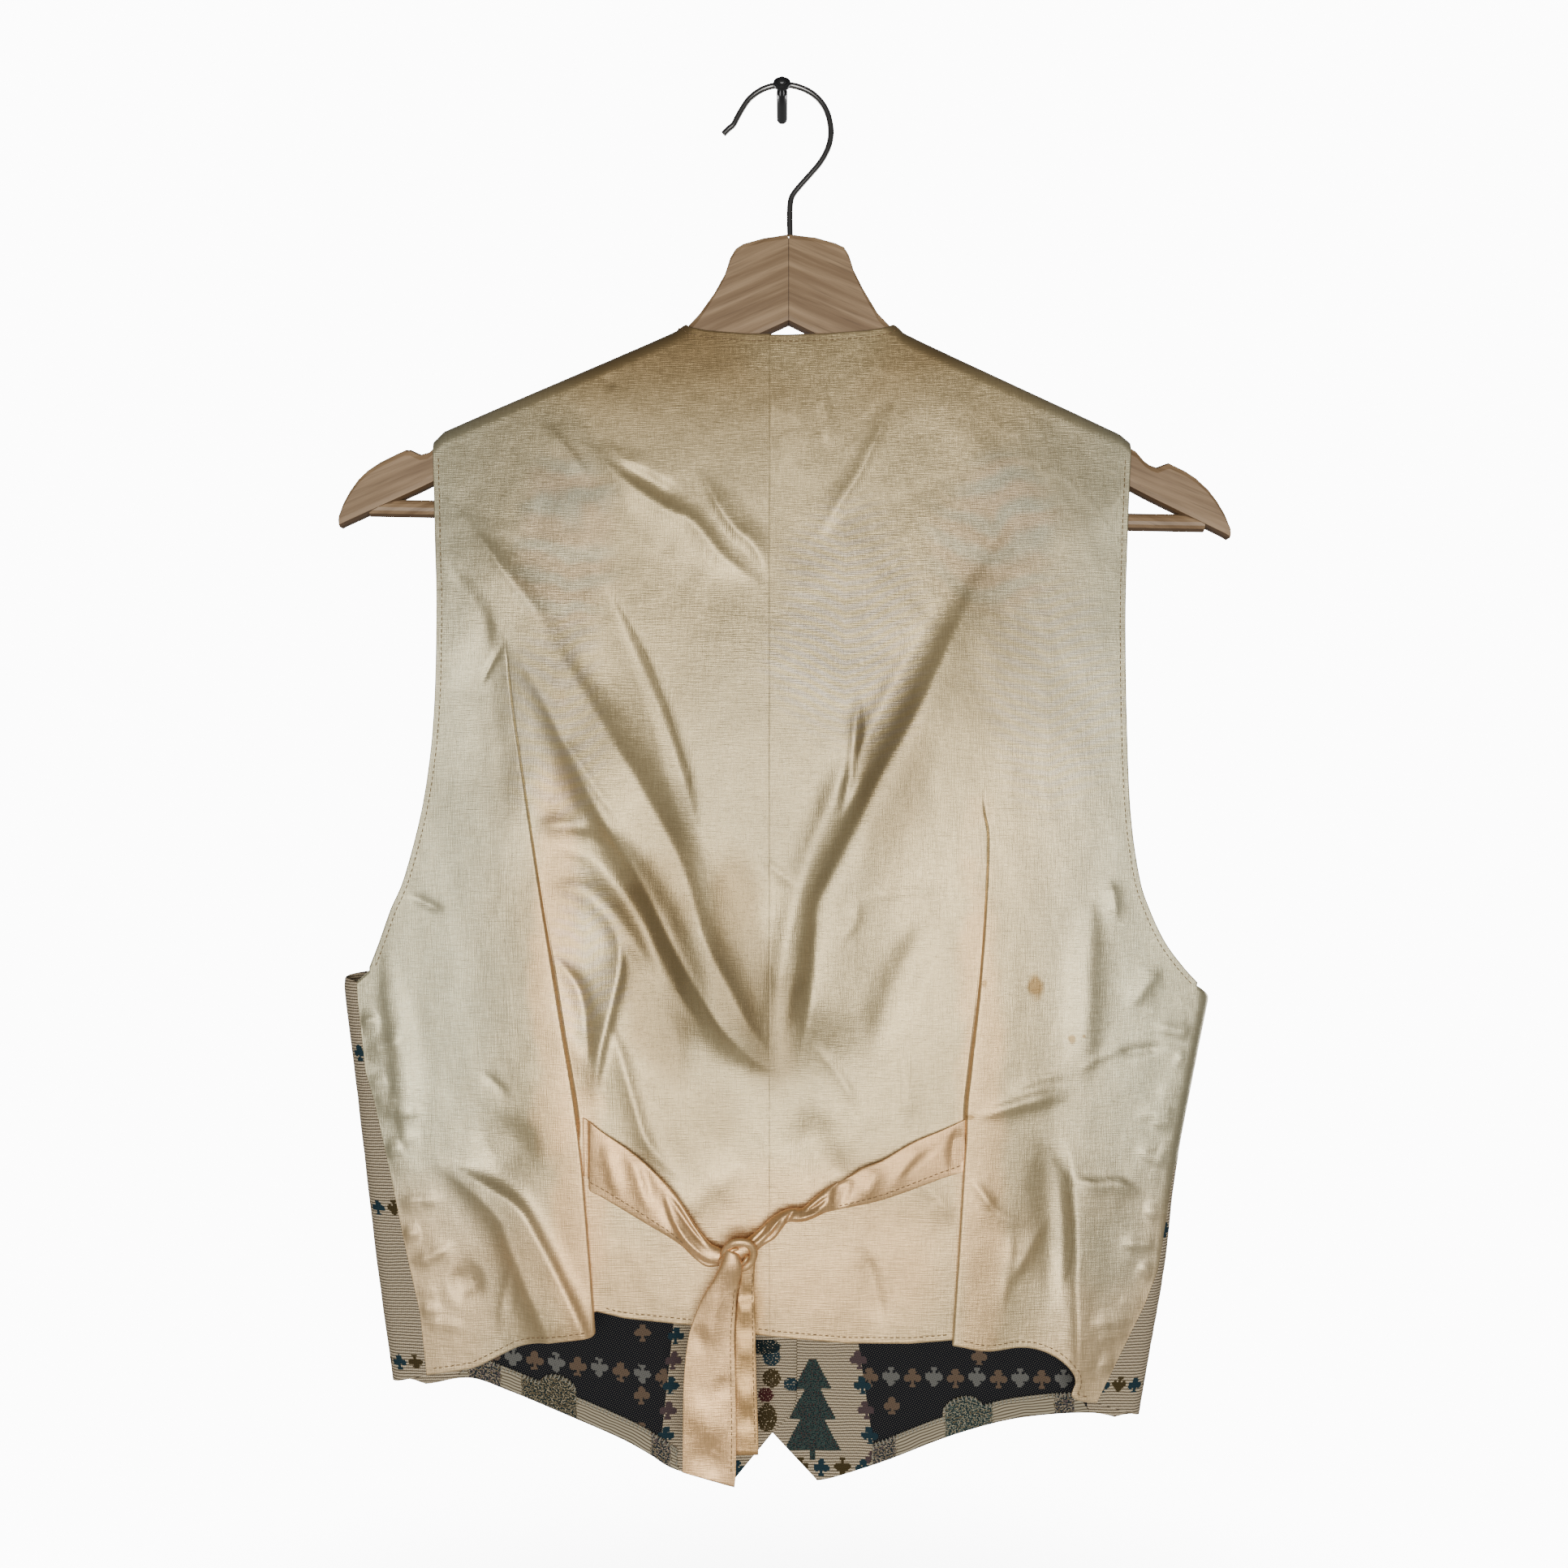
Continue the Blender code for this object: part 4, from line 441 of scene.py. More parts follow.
# Small woven forms: flattening, place, radius, colour
SMALL_FORMS = ((1.0, -6.6, -634.5, 4.5, TEAL), (2.0, -10.0, -629.0, 8.0, FIR_DARK),
               (1.0, -6.6, -645.0, 4.6, OLIVE), (1.0, 3.0, -648.0, 3.6, TEAL),
               (1.0, -9.5, -653.5, 3.8, FIR_RED), (0.7, -9.0, -665.0, 5.0, OLIVE))
FACING_PATCHES = ((50.5, 6.0, MAUVE), (93.0, 12.0, FIR_GREEN), (140.5, 5.0, MAUVE),
                  (-118.0, 14.0, OLIVE), (-150.0, 8.0, MAUVE), (-62.0, 5.0, MAUVE))

# Light: fill from all round, the softbox, the rear ones, the background; where the boxes aim
FILL, KEY, REAR, BACKGROUND = 0.13, 25.5, 16.0, 12.0
LIT = (0, 0, -0.42)
FLOOR_COVER = 0.88
FLOOR_PAINT = (0.85, 0.85, 0.84)


def smooth(value):
    value = np.clip(value, 0.0, 1.0)
    return value * value * (3 - 2 * value)


def unit(vectors):
    return vectors / np.maximum(np.linalg.norm(vectors, axis=1, keepdims=True), TINY)


def heading(line):
    """Direction in which a line of points runs."""
    return unit(np.gradient(line, axis=0))


def run_length(line):
    """Distance along a line up to each of its points."""
    return np.concatenate(([0.0], np.cumsum(np.linalg.norm(np.diff(line, axis=0), axis=1))))


def rows_at(at, reached, rows):
    """Rows read off at distances, between those known where `reached` says."""
    return np.stack([np.interp(at, reached, column) for column in rows.T], axis=-1)


def from_ends(count):
    """How many places each member of a row is from the nearer end."""
    return np.minimum(np.arange(count), np.arange(count)[::-1])


def round_turns(count):
    return np.arange(count) * 2 * math.pi / count


def mirrored(side, line):
    """(x, z) points of one side as (distance out from the middle, height)."""
    return [(x * side, z) for x, z in line]


def spline(points, per_span=8):
    """Smooth curve through points that keeps its ends, as an array with `per_span` steps a span."""
    points = np.array(points, float)
    padded = np.vstack([2 * points[0] - points[1], points, 2 * points[-1] - points[-2]])
    share = np.linspace(0, 1, per_span, endpoint=False)[:, None]
    parts = []
    for a, b, c, d in zip(padded, padded[1:], padded[2:], padded[3:]):
        parts.append(0.5 * (2 * b + (c - a) * share + (2 * a - 5 * b + 4 * c - d) * share ** 2
                            + (3 * b - 3 * c + d - a) * share ** 3))
    return np.vstack(parts + [points[-1:]])


def table_at(rows, key, key_column=0, value_column=1):
    """Values at keys, read between a table's rows in whichever order they run."""
    ordered = np.array(sorted((row[key_column], row[value_column]) for row in rows))
    return np.interp(key, ordered[:, 0], ordered[:, 1])


def along(points, share):
    """Points at shares of a polyline's length."""
    points = np.array(points, float)
    reached = run_length(points)
    return rows_at(np.asarray(share) * reached[-1], reached, points)


def fold_x(side, z):
    """Outermost x of the side fold, without its sign."""
    return np.abs(table_at(spline(SIDE_FOLD[side]), z))


def ridge_z(side, x):
    return table_at(spline(RIDGE[side], 4), x)


def stroke_height(x, z, stroke):
    """Height that one fold adds at each point."""
    height, left_width, right_width, power, line = stroke
    line = spline([(*point, 0.0)[:3] for point in line], 5)
    reach = FOLD_REACH * max(left_width, right_width) + line[:, 2].max()
    near = ((x > line[:, 0].min() - reach) & (x < line[:, 0].max() + reach)
            & (z > line[:, 1].min() - reach) & (z < line[:, 1].max() + reach))
    added = np.zeros_like(x)
    if not near.any():
        return added
    px, pz = x[near], z[near]
    lengths = np.linalg.norm(np.diff(line[:, :2], axis=0), axis=1)
    starts = np.concatenate(([0.0], np.cumsum(lengths)))
    best = np.full(px.shape, np.inf)
    turn, at, flat = np.zeros_like(px), np.zeros_like(px), np.zeros_like(px)
    for (ax, az, a_flat), (bx, bz, b_flat), length, start in zip(line, line[1:], lengths, starts):
        dx, dz = bx - ax, bz - az
        share = np.clip(((px - ax) * dx + (pz - az) * dz) / length ** 2, 0.0, 1.0)
        ox, oz = px - (ax + share * dx), pz - (az + share * dz)
        away = np.hypot(ox, oz)
        closer = away < best
        best = np.where(closer, away, best)
        turn = np.where(closer, dx * oz - dz * ox, turn)
        at = np.where(closer, start + share * length, at)
        flat = np.where(closer, a_flat + share * (b_flat - a_flat), flat)
    rise = FOLD_RISE * starts[-1]
    taper = smooth(at / rise) * smooth((starts[-1] - at) / min(FOLD_END, rise))
    width = np.where(turn > 0, left_width, right_width) * (FOLD_TIP + (1 - FOLD_TIP) * taper)
    out = np.maximum(best - flat, 0.0) / width
    added[near] = height * taper * np.exp(-out ** power)
    return added


def pucker_strokes(side):
    """Short folds that run in from the side seam, where the satin is eased on to the tapestry."""
    first, last = PUCKER_SPAN[side]
    strokes = []
    for number in range(int((first - last) / PUCKER_PITCH)):
        # sines of the number make the puckers uneven, the same way in each run
        z = first - number * PUCKER_PITCH - 3.5 * math.sin(number * 2.3)
        length = PUCKER_LENGTH * (0.75 + 0.35 * math.sin(number * 1.7 + side))
        height = PUCKER_HEIGHT * (0.7 + 0.45 * math.sin(number * 2.9 + 1))
        rise = 0.18 + 0.3 * math.sin(number * 1.1)
        inset = float(table_at(SEAM_INSET[side], z))
        seam_x = float(fold_x(side, z)) - max(inset - (QUARTER - BEND), 3.0)
        points = [(side * (seam_x - reach * length), z + rise * length * reach ** 1.6, 0.3)
                  for reach in (0.0, 0.35, 0.7, 1.0)]
        strokes.append((height, PUCKER_WIDTH, PUCKER_WIDTH * 1.5, 1.2, points))
    return strokes


def bulge_share(side, x, z):
    """0 at the hanger and at the side folds, 1 over most of the body."""
    down = smooth((BULGE_TOP - z) / (BULGE_TOP - BULGE_FULL))
    out = np.clip(np.abs(x) / (fold_x(side, z) - BEND), 0, 1)
    return down * (1 - out ** 3)


def crumple(x, z, seed):
    """Slight unevenness of hanging cloth, a little longer up and down than across."""
    total = np.zeros(x.shape)
    for often, high in CRUMPLES:
        values = [noise.noise(Vector((a * often, b * often * CRUMPLE_TALL, seed)))
                  for a, b in zip(x.ravel(), z.ravel())]
        total += high * np.array(values).reshape(x.shape)
    return total


def dart_x(side, z):
    return table_at(DART[side], z, 1, 0)


def pleat_step(side, z):
    return PLEAT_STEP * smooth((DART_TOP[side] - z) / (DART_TOP[side] - TIE_TOP))


def back_depth(side, x, z, on_side_panel, folds=True):
    """How far the middle of the back's cloth lies behind the hanger's middle plane."""
    depth = BEND + BACK_BULGE * bulge_share(side, x, z)
    if folds:
        inside = fold_x(side, z) - BEND - np.abs(x)
        free = smooth((inside + FOLD_PAST) / FOLD_MARGIN) * smooth((FLAT_ABOVE - z) / CALM_HEIGHT)
        raised = sum(stroke_height(x, z, stroke) for stroke in FOLDS)
        eased = sum(stroke_height(x, z, stroke) for stroke in pucker_strokes(side))
        depth = depth + free * (raised + crumple(x, z, BACK_SEED))
        depth = depth + smooth((inside + FOLD_PAST) / PUCKER_MARGIN) * eased
    if on_side_panel:
        past = (x - dart_x(side, z)) * side
        depth = depth + pleat_step(side, z) * (1 - smooth(past / PLEAT_FADE))
    return depth


def front_depth(side, x, z):
    lap = LAP_STEP * side * (1 - smooth((np.abs(x) - LAP_HALF) / LAP_BLEND))
    lap = lap * smooth((BULGE_TOP - z) / LAP_FADE)
    calm = smooth((fold_x(side, z) - BEND - np.abs(x)) / FOLD_MARGIN)
    uneven = 0.5 * calm * crumple(x, z, FRONT_SEED)
    return BEND + FRONT_BULGE * bulge_share(side, x, z) + lap + uneven


def bend(side, across, up, depth_of):
    """(x, y, z) of cloth laid out at (across, up): round the side fold, then over the hanger's top."""
    flat_end = fold_x(side, up) - BEND
    angle = np.clip((across - flat_end) / BEND, 0.0, math.pi)
    past = np.maximum(across - flat_end - math.pi * BEND, 0.0)
    x = side * (np.minimum(across, flat_end) + BEND * np.sin(angle) - past)
    depth = depth_of(side * np.minimum(across, flat_end), up)
    y = np.where(angle > 0, depth * np.cos(angle), depth)
    start = ridge_z(side, x) - BEND
    over = np.clip((up - start) / BEND, 0.0, math.pi)
    z = np.where(up > start, start + BEND * np.sin(over), up)
    return x, y * np.where(up > start, np.cos(over), 1.0), z


def seam_across(side, z, front):
    """Distance along the cloth from the middle out to the side seam, on either side of it."""
    outermost = fold_x(side, z) - BEND + QUARTER
    inset = table_at(SEAM_INSET[side], z)
    return outermost + (inset if front else -inset)


def shoulder_up(side, x, front):
    """Height along the cloth of the shoulder seam at x."""
    past = -SEAM_PAST_TOP if front else SEAM_PAST_TOP
    return ridge_z(side, x) - BEND + QUARTER + past * BEND


def coons(top, foot, inner, outer, u, v):
    """Points of the patch that four edge curves bound, for a column array u and a row array v."""
    tops, feet = top(u)[None, :, :], foot(u)[None, :, :]
    inners, outers = inner(v)[:, None, :], outer(v)[:, None, :]
    u, v = u[None, :, None], v[:, None, None]
    corners = ((1 - u) * (1 - v) * tops[:, :1] + u * (1 - v) * tops[:, -1:]
               + (1 - u) * v * feet[:, :1] + u * v * feet[:, -1:])
    return (1 - v) * tops + v * feet + (1 - u) * inners + u * outers - corners


def line_curve(points):
    return lambda share: along(points, share)


def part_of(curve, start, end):
    return lambda share: curve(start + np.asarray(share) * (end - start))


def stations(length, step, near=(), fine=0.7):
    """Shares of a length, a step apart, with close ones beside its start or end where `near` says so."""
    ends = [place * fine for place in EDGE_STEPS]
    inner = [d for d in ends if "start" in near] or [0.0]
    outer = [length - d for d in reversed(ends) if "end" in near] or [length]
    count = max(2, int(round((outer[0] - inner[-1]) / step)))
    middle = np.linspace(inner[-1], outer[0], count + 1)
    return np.concatenate([inner[:-1], middle, outer[1:]]) / length


def curve_by_x(side, line, run_on=0.0):
    """Edge through (x, z) points, at even shares of x, that may run on before its first point."""
    line = np.array(line, float)
    first = line[0, 0] - side * run_on

    def at(share):
        x = first + np.asarray(share) * (line[-1, 0] - first)
        return np.stack([x * side, table_at(line, x)], -1)
    return at


def armhole_curve(side, front):
    """Armhole edge from the shoulder to the point where it turns in under the arm."""
    shoulder_x = RIDGE[side][-1][0]
    line = [(abs(shoulder_x), float(shoulder_up(side, shoulder_x, front)))]
    line += [(abs(x), z) for x, z in (FRONT_ARMHOLE if front else BACK_ARMHOLE)[side]]
    return line_curve(spline(line))


def seam_curve(side, front):
    def at(share):
        z = SEAM_TOP[side] + np.asarray(share) * (SEAM_FOOT[side] - SEAM_TOP[side])
        return np.stack([seam_across(side, z, front), z], -1)
    return at


def side_hem(side, past_dart):
    """Hem of the side panel, from a little past the dart out to the side seam."""
    (x, z), *others = mirrored(side, SIDE_HEM[side][:-1])
    return line_curve(spline([(x + past_dart, z)] + others + [tuple(seam_curve(side, False)(1.0))], 5))


def shoulder_curve(side, first, last, front):
    def at(share):
        x = first + np.asarray(share) * (last - first)
        return np.stack([np.abs(x), shoulder_up(side, x, front)], -1)
    return at


def back_top_curve(side, run_on=0.0):
    """Neck edge from the centre seam to the neck point, then the shoulder seam to the dart's line."""
    first = CENTRE_BACK_X - side * run_on
    neck_x, end_x = NECK_POINT_X[side], DART[side][0][0] - side * DART_CLEAR
    neck = [(CENTRE_BACK_X, BACK_NECK[side][0][1])] + list(BACK_NECK[side])
    neck.append((neck_x, float(shoulder_up(side, neck_x, False))))

    def at(share):
        x = first + np.asarray(share) * (end_x - first)
        up = np.where(np.abs(x) >= abs(neck_x), shoulder_up(side, x, False), table_at(neck, x))
        return np.stack([x * side, up], -1)
    return at


def dart_curve(side):
    line = [(abs(x), z) for x, z in DART[side]]
    line[0] = (line[0][0], float(shoulder_up(side, DART[side][0][0], False)))
    return line_curve(spline(line, 6))


def beside_dart(side, share, out):
    """Points at shares down the dart and `out` from it, the top end kept on the sloping shoulder."""
    share, out = np.broadcast_arrays(share, out)
    first = DART[side][0][0]
    slope = shoulder_up(side, first + side * out, False) - shoulder_up(side, first, False)
    return dart_curve(side)(share) + np.stack([out, slope * (1 - smooth(share / SLOPE_FADE))], -1)


def hem_lift(side, z):
    """How much higher the centre panel's rows lie than the side panel's, next to the open pleat."""
    return HEM_RISE[side] * smooth((TIE_FOOT - z) / (TIE_FOOT - HEM_LEVEL))


def back_at(side, across, up, on_side_panel=True, lift=0.0):
    """Points of the back's cloth laid out at (across, up)."""
    x, y, z = bend(side, across, up,
                   lambda at, height: back_depth(side, at, height, on_side_panel) + lift)
    return np.stack([x, -y, z], -1)


def front_at(side, across, up, lift=0.0):
    x, y, z = bend(side, across, up, lambda at, height: front_depth(side, at, height) + lift)
    past = across > fold_x(side, up) - BEND + math.pi * BEND
    return np.stack([x, np.where(past, -back_depth(side, x, up, True), y), z], -1)


def pleat_grid(side, shares):
    """Points of the dart's S, a row for each share down the dart."""
    z = dart_curve(side)(shares)[:, 1][:, None]
    opening = smooth((TIE_TOP - z) / (TIE_TOP - TIE_FOOT))
    width = PLEAT_START + (PLEAT_WIDTH - PLEAT_START) * smooth((TIE_FOOT - z) / (TIE_FOOT - HEM_LEVEL))
    turns = np.linspace(-90, 90, PLEAT_TURN + 1) * math.pi / 180
    run = np.linspace(0, 1, PLEAT_RUN + 1)
    # each point: share of the pleat's width, radii outwards, radii up
    folded = [(share, 0.0, 0.0) for share in run]
    folded += [(1.0, math.cos(turn), 1 + math.sin(turn)) for turn in turns[1:-1]]
    folded += [(1 - share, 0.0, 2.0) for share in run]
    folded += [(0.0, -math.cos(turn), 3 + math.sin(turn)) for turn in turns[1:-1]]
    folded += [(0.0, 0.0, 4.0)]
    folded = np.array(folded)
    order = (np.arange(len(folded)) + 1) / (len(folded) + 1)
    ramp_out = DART_CLEAR * (2 * order - 1)
    groove = DART_GROOVE * smooth((DART_TOP[side] - z) / GROOVE_FADE)
    groove = groove * np.exp(-(ramp_out / GROOVE_WIDTH) ** 2)
    ramp_up = pleat_step(side, z) * smooth(order) - groove
    out = ramp_out + (folded[:, 0] * width + folded[:, 1] * PLEAT_R - ramp_out) * opening
    height = ramp_up + (folded[:, 2] * PLEAT_R - ramp_up) * opening
    place = beside_dart(side, shares[:, None], out)
    return back_at(side, place[..., 0], place[..., 1] + hem_lift(side, z) * (1 - order), False, height)


def two_blocks(top, across_arm, foot, inner, outer, shares, split, columns, below_only):
    """Flat grid of a panel that is wider below the armhole; its upper block lacks the last columns."""
    upper, lower = shares[shares <= split], shares[shares > split]
    kept = columns[:-below_only]
    block = coons(top, part_of(across_arm, 0, kept[-1]), part_of(inner, 0, split), outer[0],
                  kept / kept[-1], upper / split)
    missing = np.full((len(upper), below_only, 2), np.nan)
    below = coons(across_arm, foot, part_of(inner, split, 1), outer[1], columns,
                  (lower - split) / (1 - split))
    return np.concatenate([np.concatenate([block, missing], 1), below], 0)


def seam_dip(across, seam_x):
    """How far the cloth sinks beside a seam, and past it, where it runs on under the other piece."""
    away = across - seam_x
    return -SEAM_DIP * np.exp(-(away / DIP_WIDTH) ** 2) - SEAM_UNDER * smooth(-away / SEAM_RUN_ON)


def back_grid(side):
    """Grid of one back half from the centre seam to the side seam."""
    seam_x = CENTRE_BACK_X * side
    inner_x = seam_x - SEAM_RUN_ON
    middle = line_curve([(inner_x, BACK_NECK[side][0][1]), (inner_x, CENTRE_HEM[side][0][1])])
    shares = down_stations(UNDERARM)

    def centre_dart(share):
        point = beside_dart(side, share, -DART_CLEAR)
        point[..., 1] += hem_lift(side, point[..., 1])
        return point

    def side_dart(share):
        return beside_dart(side, share, DART_CLEAR)

    columns = stations(abs(DART[side][0][0] - CENTRE_BACK_X), GRID_STEP, near=("start",), fine=0.4)
    flat = coons(back_top_curve(side, SEAM_RUN_ON), curve_by_x(side, CENTRE_HEM[side], SEAM_RUN_ON),
                 middle, centre_dart, columns, shares)
    centre = back_at(side, flat[..., 0], flat[..., 1], False, seam_dip(flat[..., 0], seam_x))
    armhole, seam = armhole_curve(side, False), seam_curve(side, False)
    shoulder = shoulder_curve(side, DART[side][0][0] + side * DART_CLEAR, RIDGE[side][-1][0], False)
    across_arm = [tuple(side_dart(UNDERARM)), tuple(armhole(1.0)), tuple(seam(0.0))]
    columns, below_only = arm_columns(across_arm, GRID_STEP)
    flat = two_blocks(shoulder, line_curve(across_arm), side_hem(side, DART_CLEAR), side_dart,
                      (armhole, seam), shares, UNDERARM, columns, below_only)
    return np.concatenate([centre, pleat_grid(side, shares),
                           back_at(side, flat[..., 0], flat[..., 1])], 1)


def down_stations(split):
    """Shares down a panel, close together at the top and the hem, one of them at the armhole's foot."""
    upper = stations(PANEL_LENGTH * split, GRID_STEP, near=("start",)) * split
    lower = split + stations(PANEL_LENGTH * (1 - split), GRID_STEP, near=("end",)) * (1 - split)
    return np.concatenate([upper, lower[1:]])


def arm_columns(across_arm, step):
    """Shares across the line under the arm, one at the armhole's corner, and how many lie past it."""
    inner = np.linalg.norm(np.subtract(across_arm[1], across_arm[0]))
    total = inner + np.linalg.norm(np.subtract(across_arm[2], across_arm[1]))
    before = stations(inner, step, near=("end",)) * inner / total
    beyond = stations(total - inner, step, near=("end",), fine=0.5)
    after = inner / total + beyond * (1 - inner / total)
    return np.concatenate([before, after[1:]]), len(after) - 1


def front_grid(side):
    """Grid of one front, from its front edge round to the side seam on the back, and its flat places."""
    neck_x, end_x = NECK_POINT_X[side], RIDGE[side][-1][0]
    neck_point = (neck_x * side, float(shoulder_up(side, neck_x, True)))
    edge = line_curve([neck_point] + mirrored(side, FRONT_EDGE[side]))
    armhole, seam = armhole_curve(side, True), seam_curve(side, True)
    hem = line_curve(spline(mirrored(side, FRONT_HEM[side]) + [tuple(seam(1.0))], 5))
    across_arm = [tuple(edge(FRONT_UNDERARM)), tuple(armhole(1.0)), tuple(seam(0.0))]
    columns, below_only = arm_columns(across_arm, FRONT_STEP)
    flat = two_blocks(shoulder_curve(side, neck_x, end_x, True), line_curve(across_arm), hem, edge,
                      (armhole, seam), down_stations(FRONT_UNDERARM), FRONT_UNDERARM, columns, below_only)
    return front_at(side, flat[..., 0], flat[..., 1]), flat


def grid_faces(known):
    """Corner numbers of the cells whose four points are all there."""
    rows, columns = known.shape
    number = np.arange(rows * columns).reshape(rows, columns)
    whole = known[:-1, :-1] & known[1:, :-1] & known[1:, 1:] & known[:-1, 1:]
    return np.stack([number[:-1, :-1], number[1:, :-1], number[1:, 1:], number[:-1, 1:]], -1)[whole]


def cloth(name, grid, thickness, look, flat=None, outward=1):
    """Closed wall of cloth round a grid of points, with rounded edges. NaN marks places left out."""
    points = grid.reshape(-1, 3)
    faces = grid_faces(~np.isnan(grid[..., 0]))
    if outward < 0:
        faces = faces[:, ::-1]
    corners = points[faces]
    face_normals = np.cross(corners[:, 2] - corners[:, 0], corners[:, 3] - corners[:, 1])
    normals = np.zeros_like(points)
    for corner in range(4):
        np.add.at(normals, faces[:, corner], face_normals)
    normals = unit(normals)
    count = len(points)
    edges = np.concatenate([faces[:, [i, (i + 1) % 4]] for i in range(4)])
    opposite = np.concatenate([corners.mean(1)] * 4)
    keys = np.sort(edges, 1)[:, 0] * count + np.sort(edges, 1)[:, 1]
    known, uses = np.unique(keys, return_counts=True)
    single = np.isin(keys, known[uses == 1])
    rim, inside = edges[single], opposite[single]
    away = np.zeros_like(points)
    for end in range(2):
        np.add.at(away, rim[:, end], points[rim].mean(1) - inside)
    away -= normals * (away * normals).sum(1, keepdims=True)
    half = thickness / 2
    layers = np.concatenate([points + normals * half, points - normals * half,
                             points + unit(away) * half * EDGE_ROUND])
    a, b = rim[:, 0], rim[:, 1]
    quads = np.concatenate([faces, faces[:, ::-1] + count,
                            np.stack([b, a, a + 2 * count, b + 2 * count], 1),
                            np.stack([b + 2 * count, a + 2 * count, a + count, b + count], 1)])
    used = np.unique(quads)
    renumber = np.zeros(3 * count, int)
    renumber[used] = np.arange(len(used))
    places = None if flat is None else np.concatenate([flat.reshape(-1, 2)] * 3)[used]
    return mesh_object(name, layers[used], renumber[quads], look, places)


def add_object(name, data):
    thing = bpy.data.objects.new(name, data)
    bpy.context.collection.objects.link(thing)
    return thing


def mesh_object(name, points, faces, look, flat=None, smooth_faces=True):
    """Mesh from points in millimetres. `flat` keeps each point's place on the cloth laid out flat."""
    mesh = bpy.data.meshes.new(name)
    mesh.from_pydata((np.asarray(points) * MM).tolist(), [], [list(map(int, face)) for face in faces])
    if smooth_faces:
        mesh.shade_smooth()
    if flat is not None:
        layer = mesh.attributes.new("flat", "FLOAT2", "POINT")
        layer.data.foreach_set("vector", np.asarray(flat, np.float32).ravel())
    mesh.materials.append(look)
    thing = add_object(name, mesh)
    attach(thing, "root")
    return thing


class Look:
    """Node tree of one material, with short ways to add nodes and to join them."""

    def __init__(self, name, **constants):
        self.material = bpy.data.materials.new(name)
        self.material.use_nodes = True
        self.tree = self.material.node_tree
        self.shader = self.tree.nodes["Principled BSDF"]
        for key, value in constants.items():
            self.shader.inputs[key.replace("_", " ")].default_value = value

    def put(self, value, socket):
        if isinstance(value, bpy.types.NodeSocket):
            self.tree.links.new(value, socket)
        elif isinstance(value, tuple) and len(value) == 3 and len(socket.default_value) == 4:
            socket.default_value = (*value, 1.0)
        else:
            socket.default_value = value

    def add(self, kind, inputs=(), **settings):
        node = self.tree.nodes.new("ShaderNode" + kind)
        for key, value in settings.items():
            setattr(node, key, value)
        for key, value in dict(inputs).items():
            self.put(value, node.inputs[key])
        return node

    def maths(self, operation, *values):
        return self.add("Math", dict(enumerate(values)), operation=operation).outputs[0]

    def chain(self, operation, total, *values):
        for value in values:
            total = self.maths(operation, total, value)
        return total

    def times(self, *values):
        return self.chain("MULTIPLY", *values)

    def plus(self, *values):
        return self.chain("ADD", *values)

    def either(self, *masks):
        return self.chain("MAXIMUM", *masks)

    def minus(self, value, taken):
        return self.plus(value, self.times(taken, -1.0))

    def size(self, value):
        return self.maths("ABSOLUTE", value)

    def below(self, value, limit):
        return self.maths("LESS_THAN", value, limit)

    def above(self, value, limit):
        return self.maths("GREATER_THAN", value, limit)

    def between(self, value, low, high):
        return self.times(self.above(value, low), self.below(value, high))

    def squares(self, first, second):
        return self.plus(self.times(first, first), self.times(second, second))

    def wave(self, value, pitch):
        return self.maths("SINE", self.times(value, 2 * math.pi / pitch))

    def repeated(self, value, pitch):
        """Value wrapped round to lie within half a pitch of 0."""
        return self.maths("WRAP", value, pitch / 2, -pitch / 2)

    def ramp(self, value, low, high, to_low=0.0, to_high=1.0):
        """Value carried smoothly from low..high to to_low..to_high."""
        return self.add("MapRange", {0: value, 1: low, 2: high, 3: to_low, 4: to_high},
                        interpolation_type="SMOOTHSTEP").outputs[0]

    def mix(self, share, first, second):
        return self.add("Mix", {0: share, 6: first, 7: second}, data_type="RGBA").outputs[2]

    def noise(self, place, scale, detail=2.0, roughness=0.5):
        return self.add("TexNoise", {"Vector": place, "Scale": scale, "Detail": detail,
                                     "Roughness": roughness}).outputs["Fac"]

    def streaks(self, place, often, detail, roughness=0.5):
        """Noise that is finer along some axes than along others."""
        stretched = self.add("Mapping", {"Vector": place, "Scale": often}).outputs[0]
        return self.noise(stretched, 1.0, detail, roughness)

    def object_place(self):
        return self.add("TexCoord").outputs["Object"]

    def flat_place(self):
        """Across and up on the cloth laid out flat, in millimetres."""
        place = self.add("Attribute", attribute_name="flat", attribute_type="GEOMETRY").outputs["Vector"]
        return place, self.split(place)

    def split(self, place):
        return self.add("SeparateXYZ", {0: place}).outputs

    def finish(self, colour, roughness=None, height=None, strength=0.3, distance=0.0005):
        self.put(colour, self.shader.inputs["Base Color"])
        if roughness is not None:
            self.put(roughness, self.shader.inputs["Roughness"])
        if height is not None:
            bump = self.add("Bump", {"Strength": strength, "Distance": distance, "Height": height})
            self.tree.links.new(bump.outputs[0], self.shader.inputs["Normal"])
        return self.material


def patch(look, place, x, z, at, radii):
    """1 inside a ragged oval and 0 beyond its rim: its middle and half sizes in millimetres."""
    across = look.times(look.plus(x, -at[0] * MM), 1 / (radii[0] * MM))
    up = look.times(look.plus(z, -at[1] * MM), 1 / (radii[1] * MM))
    away = look.maths("SQRT", look.squares(across, up))
    return look.ramp(look.plus(away, look.noise(place, PATCH_RAG / min(radii))), 1.6, 1.0)


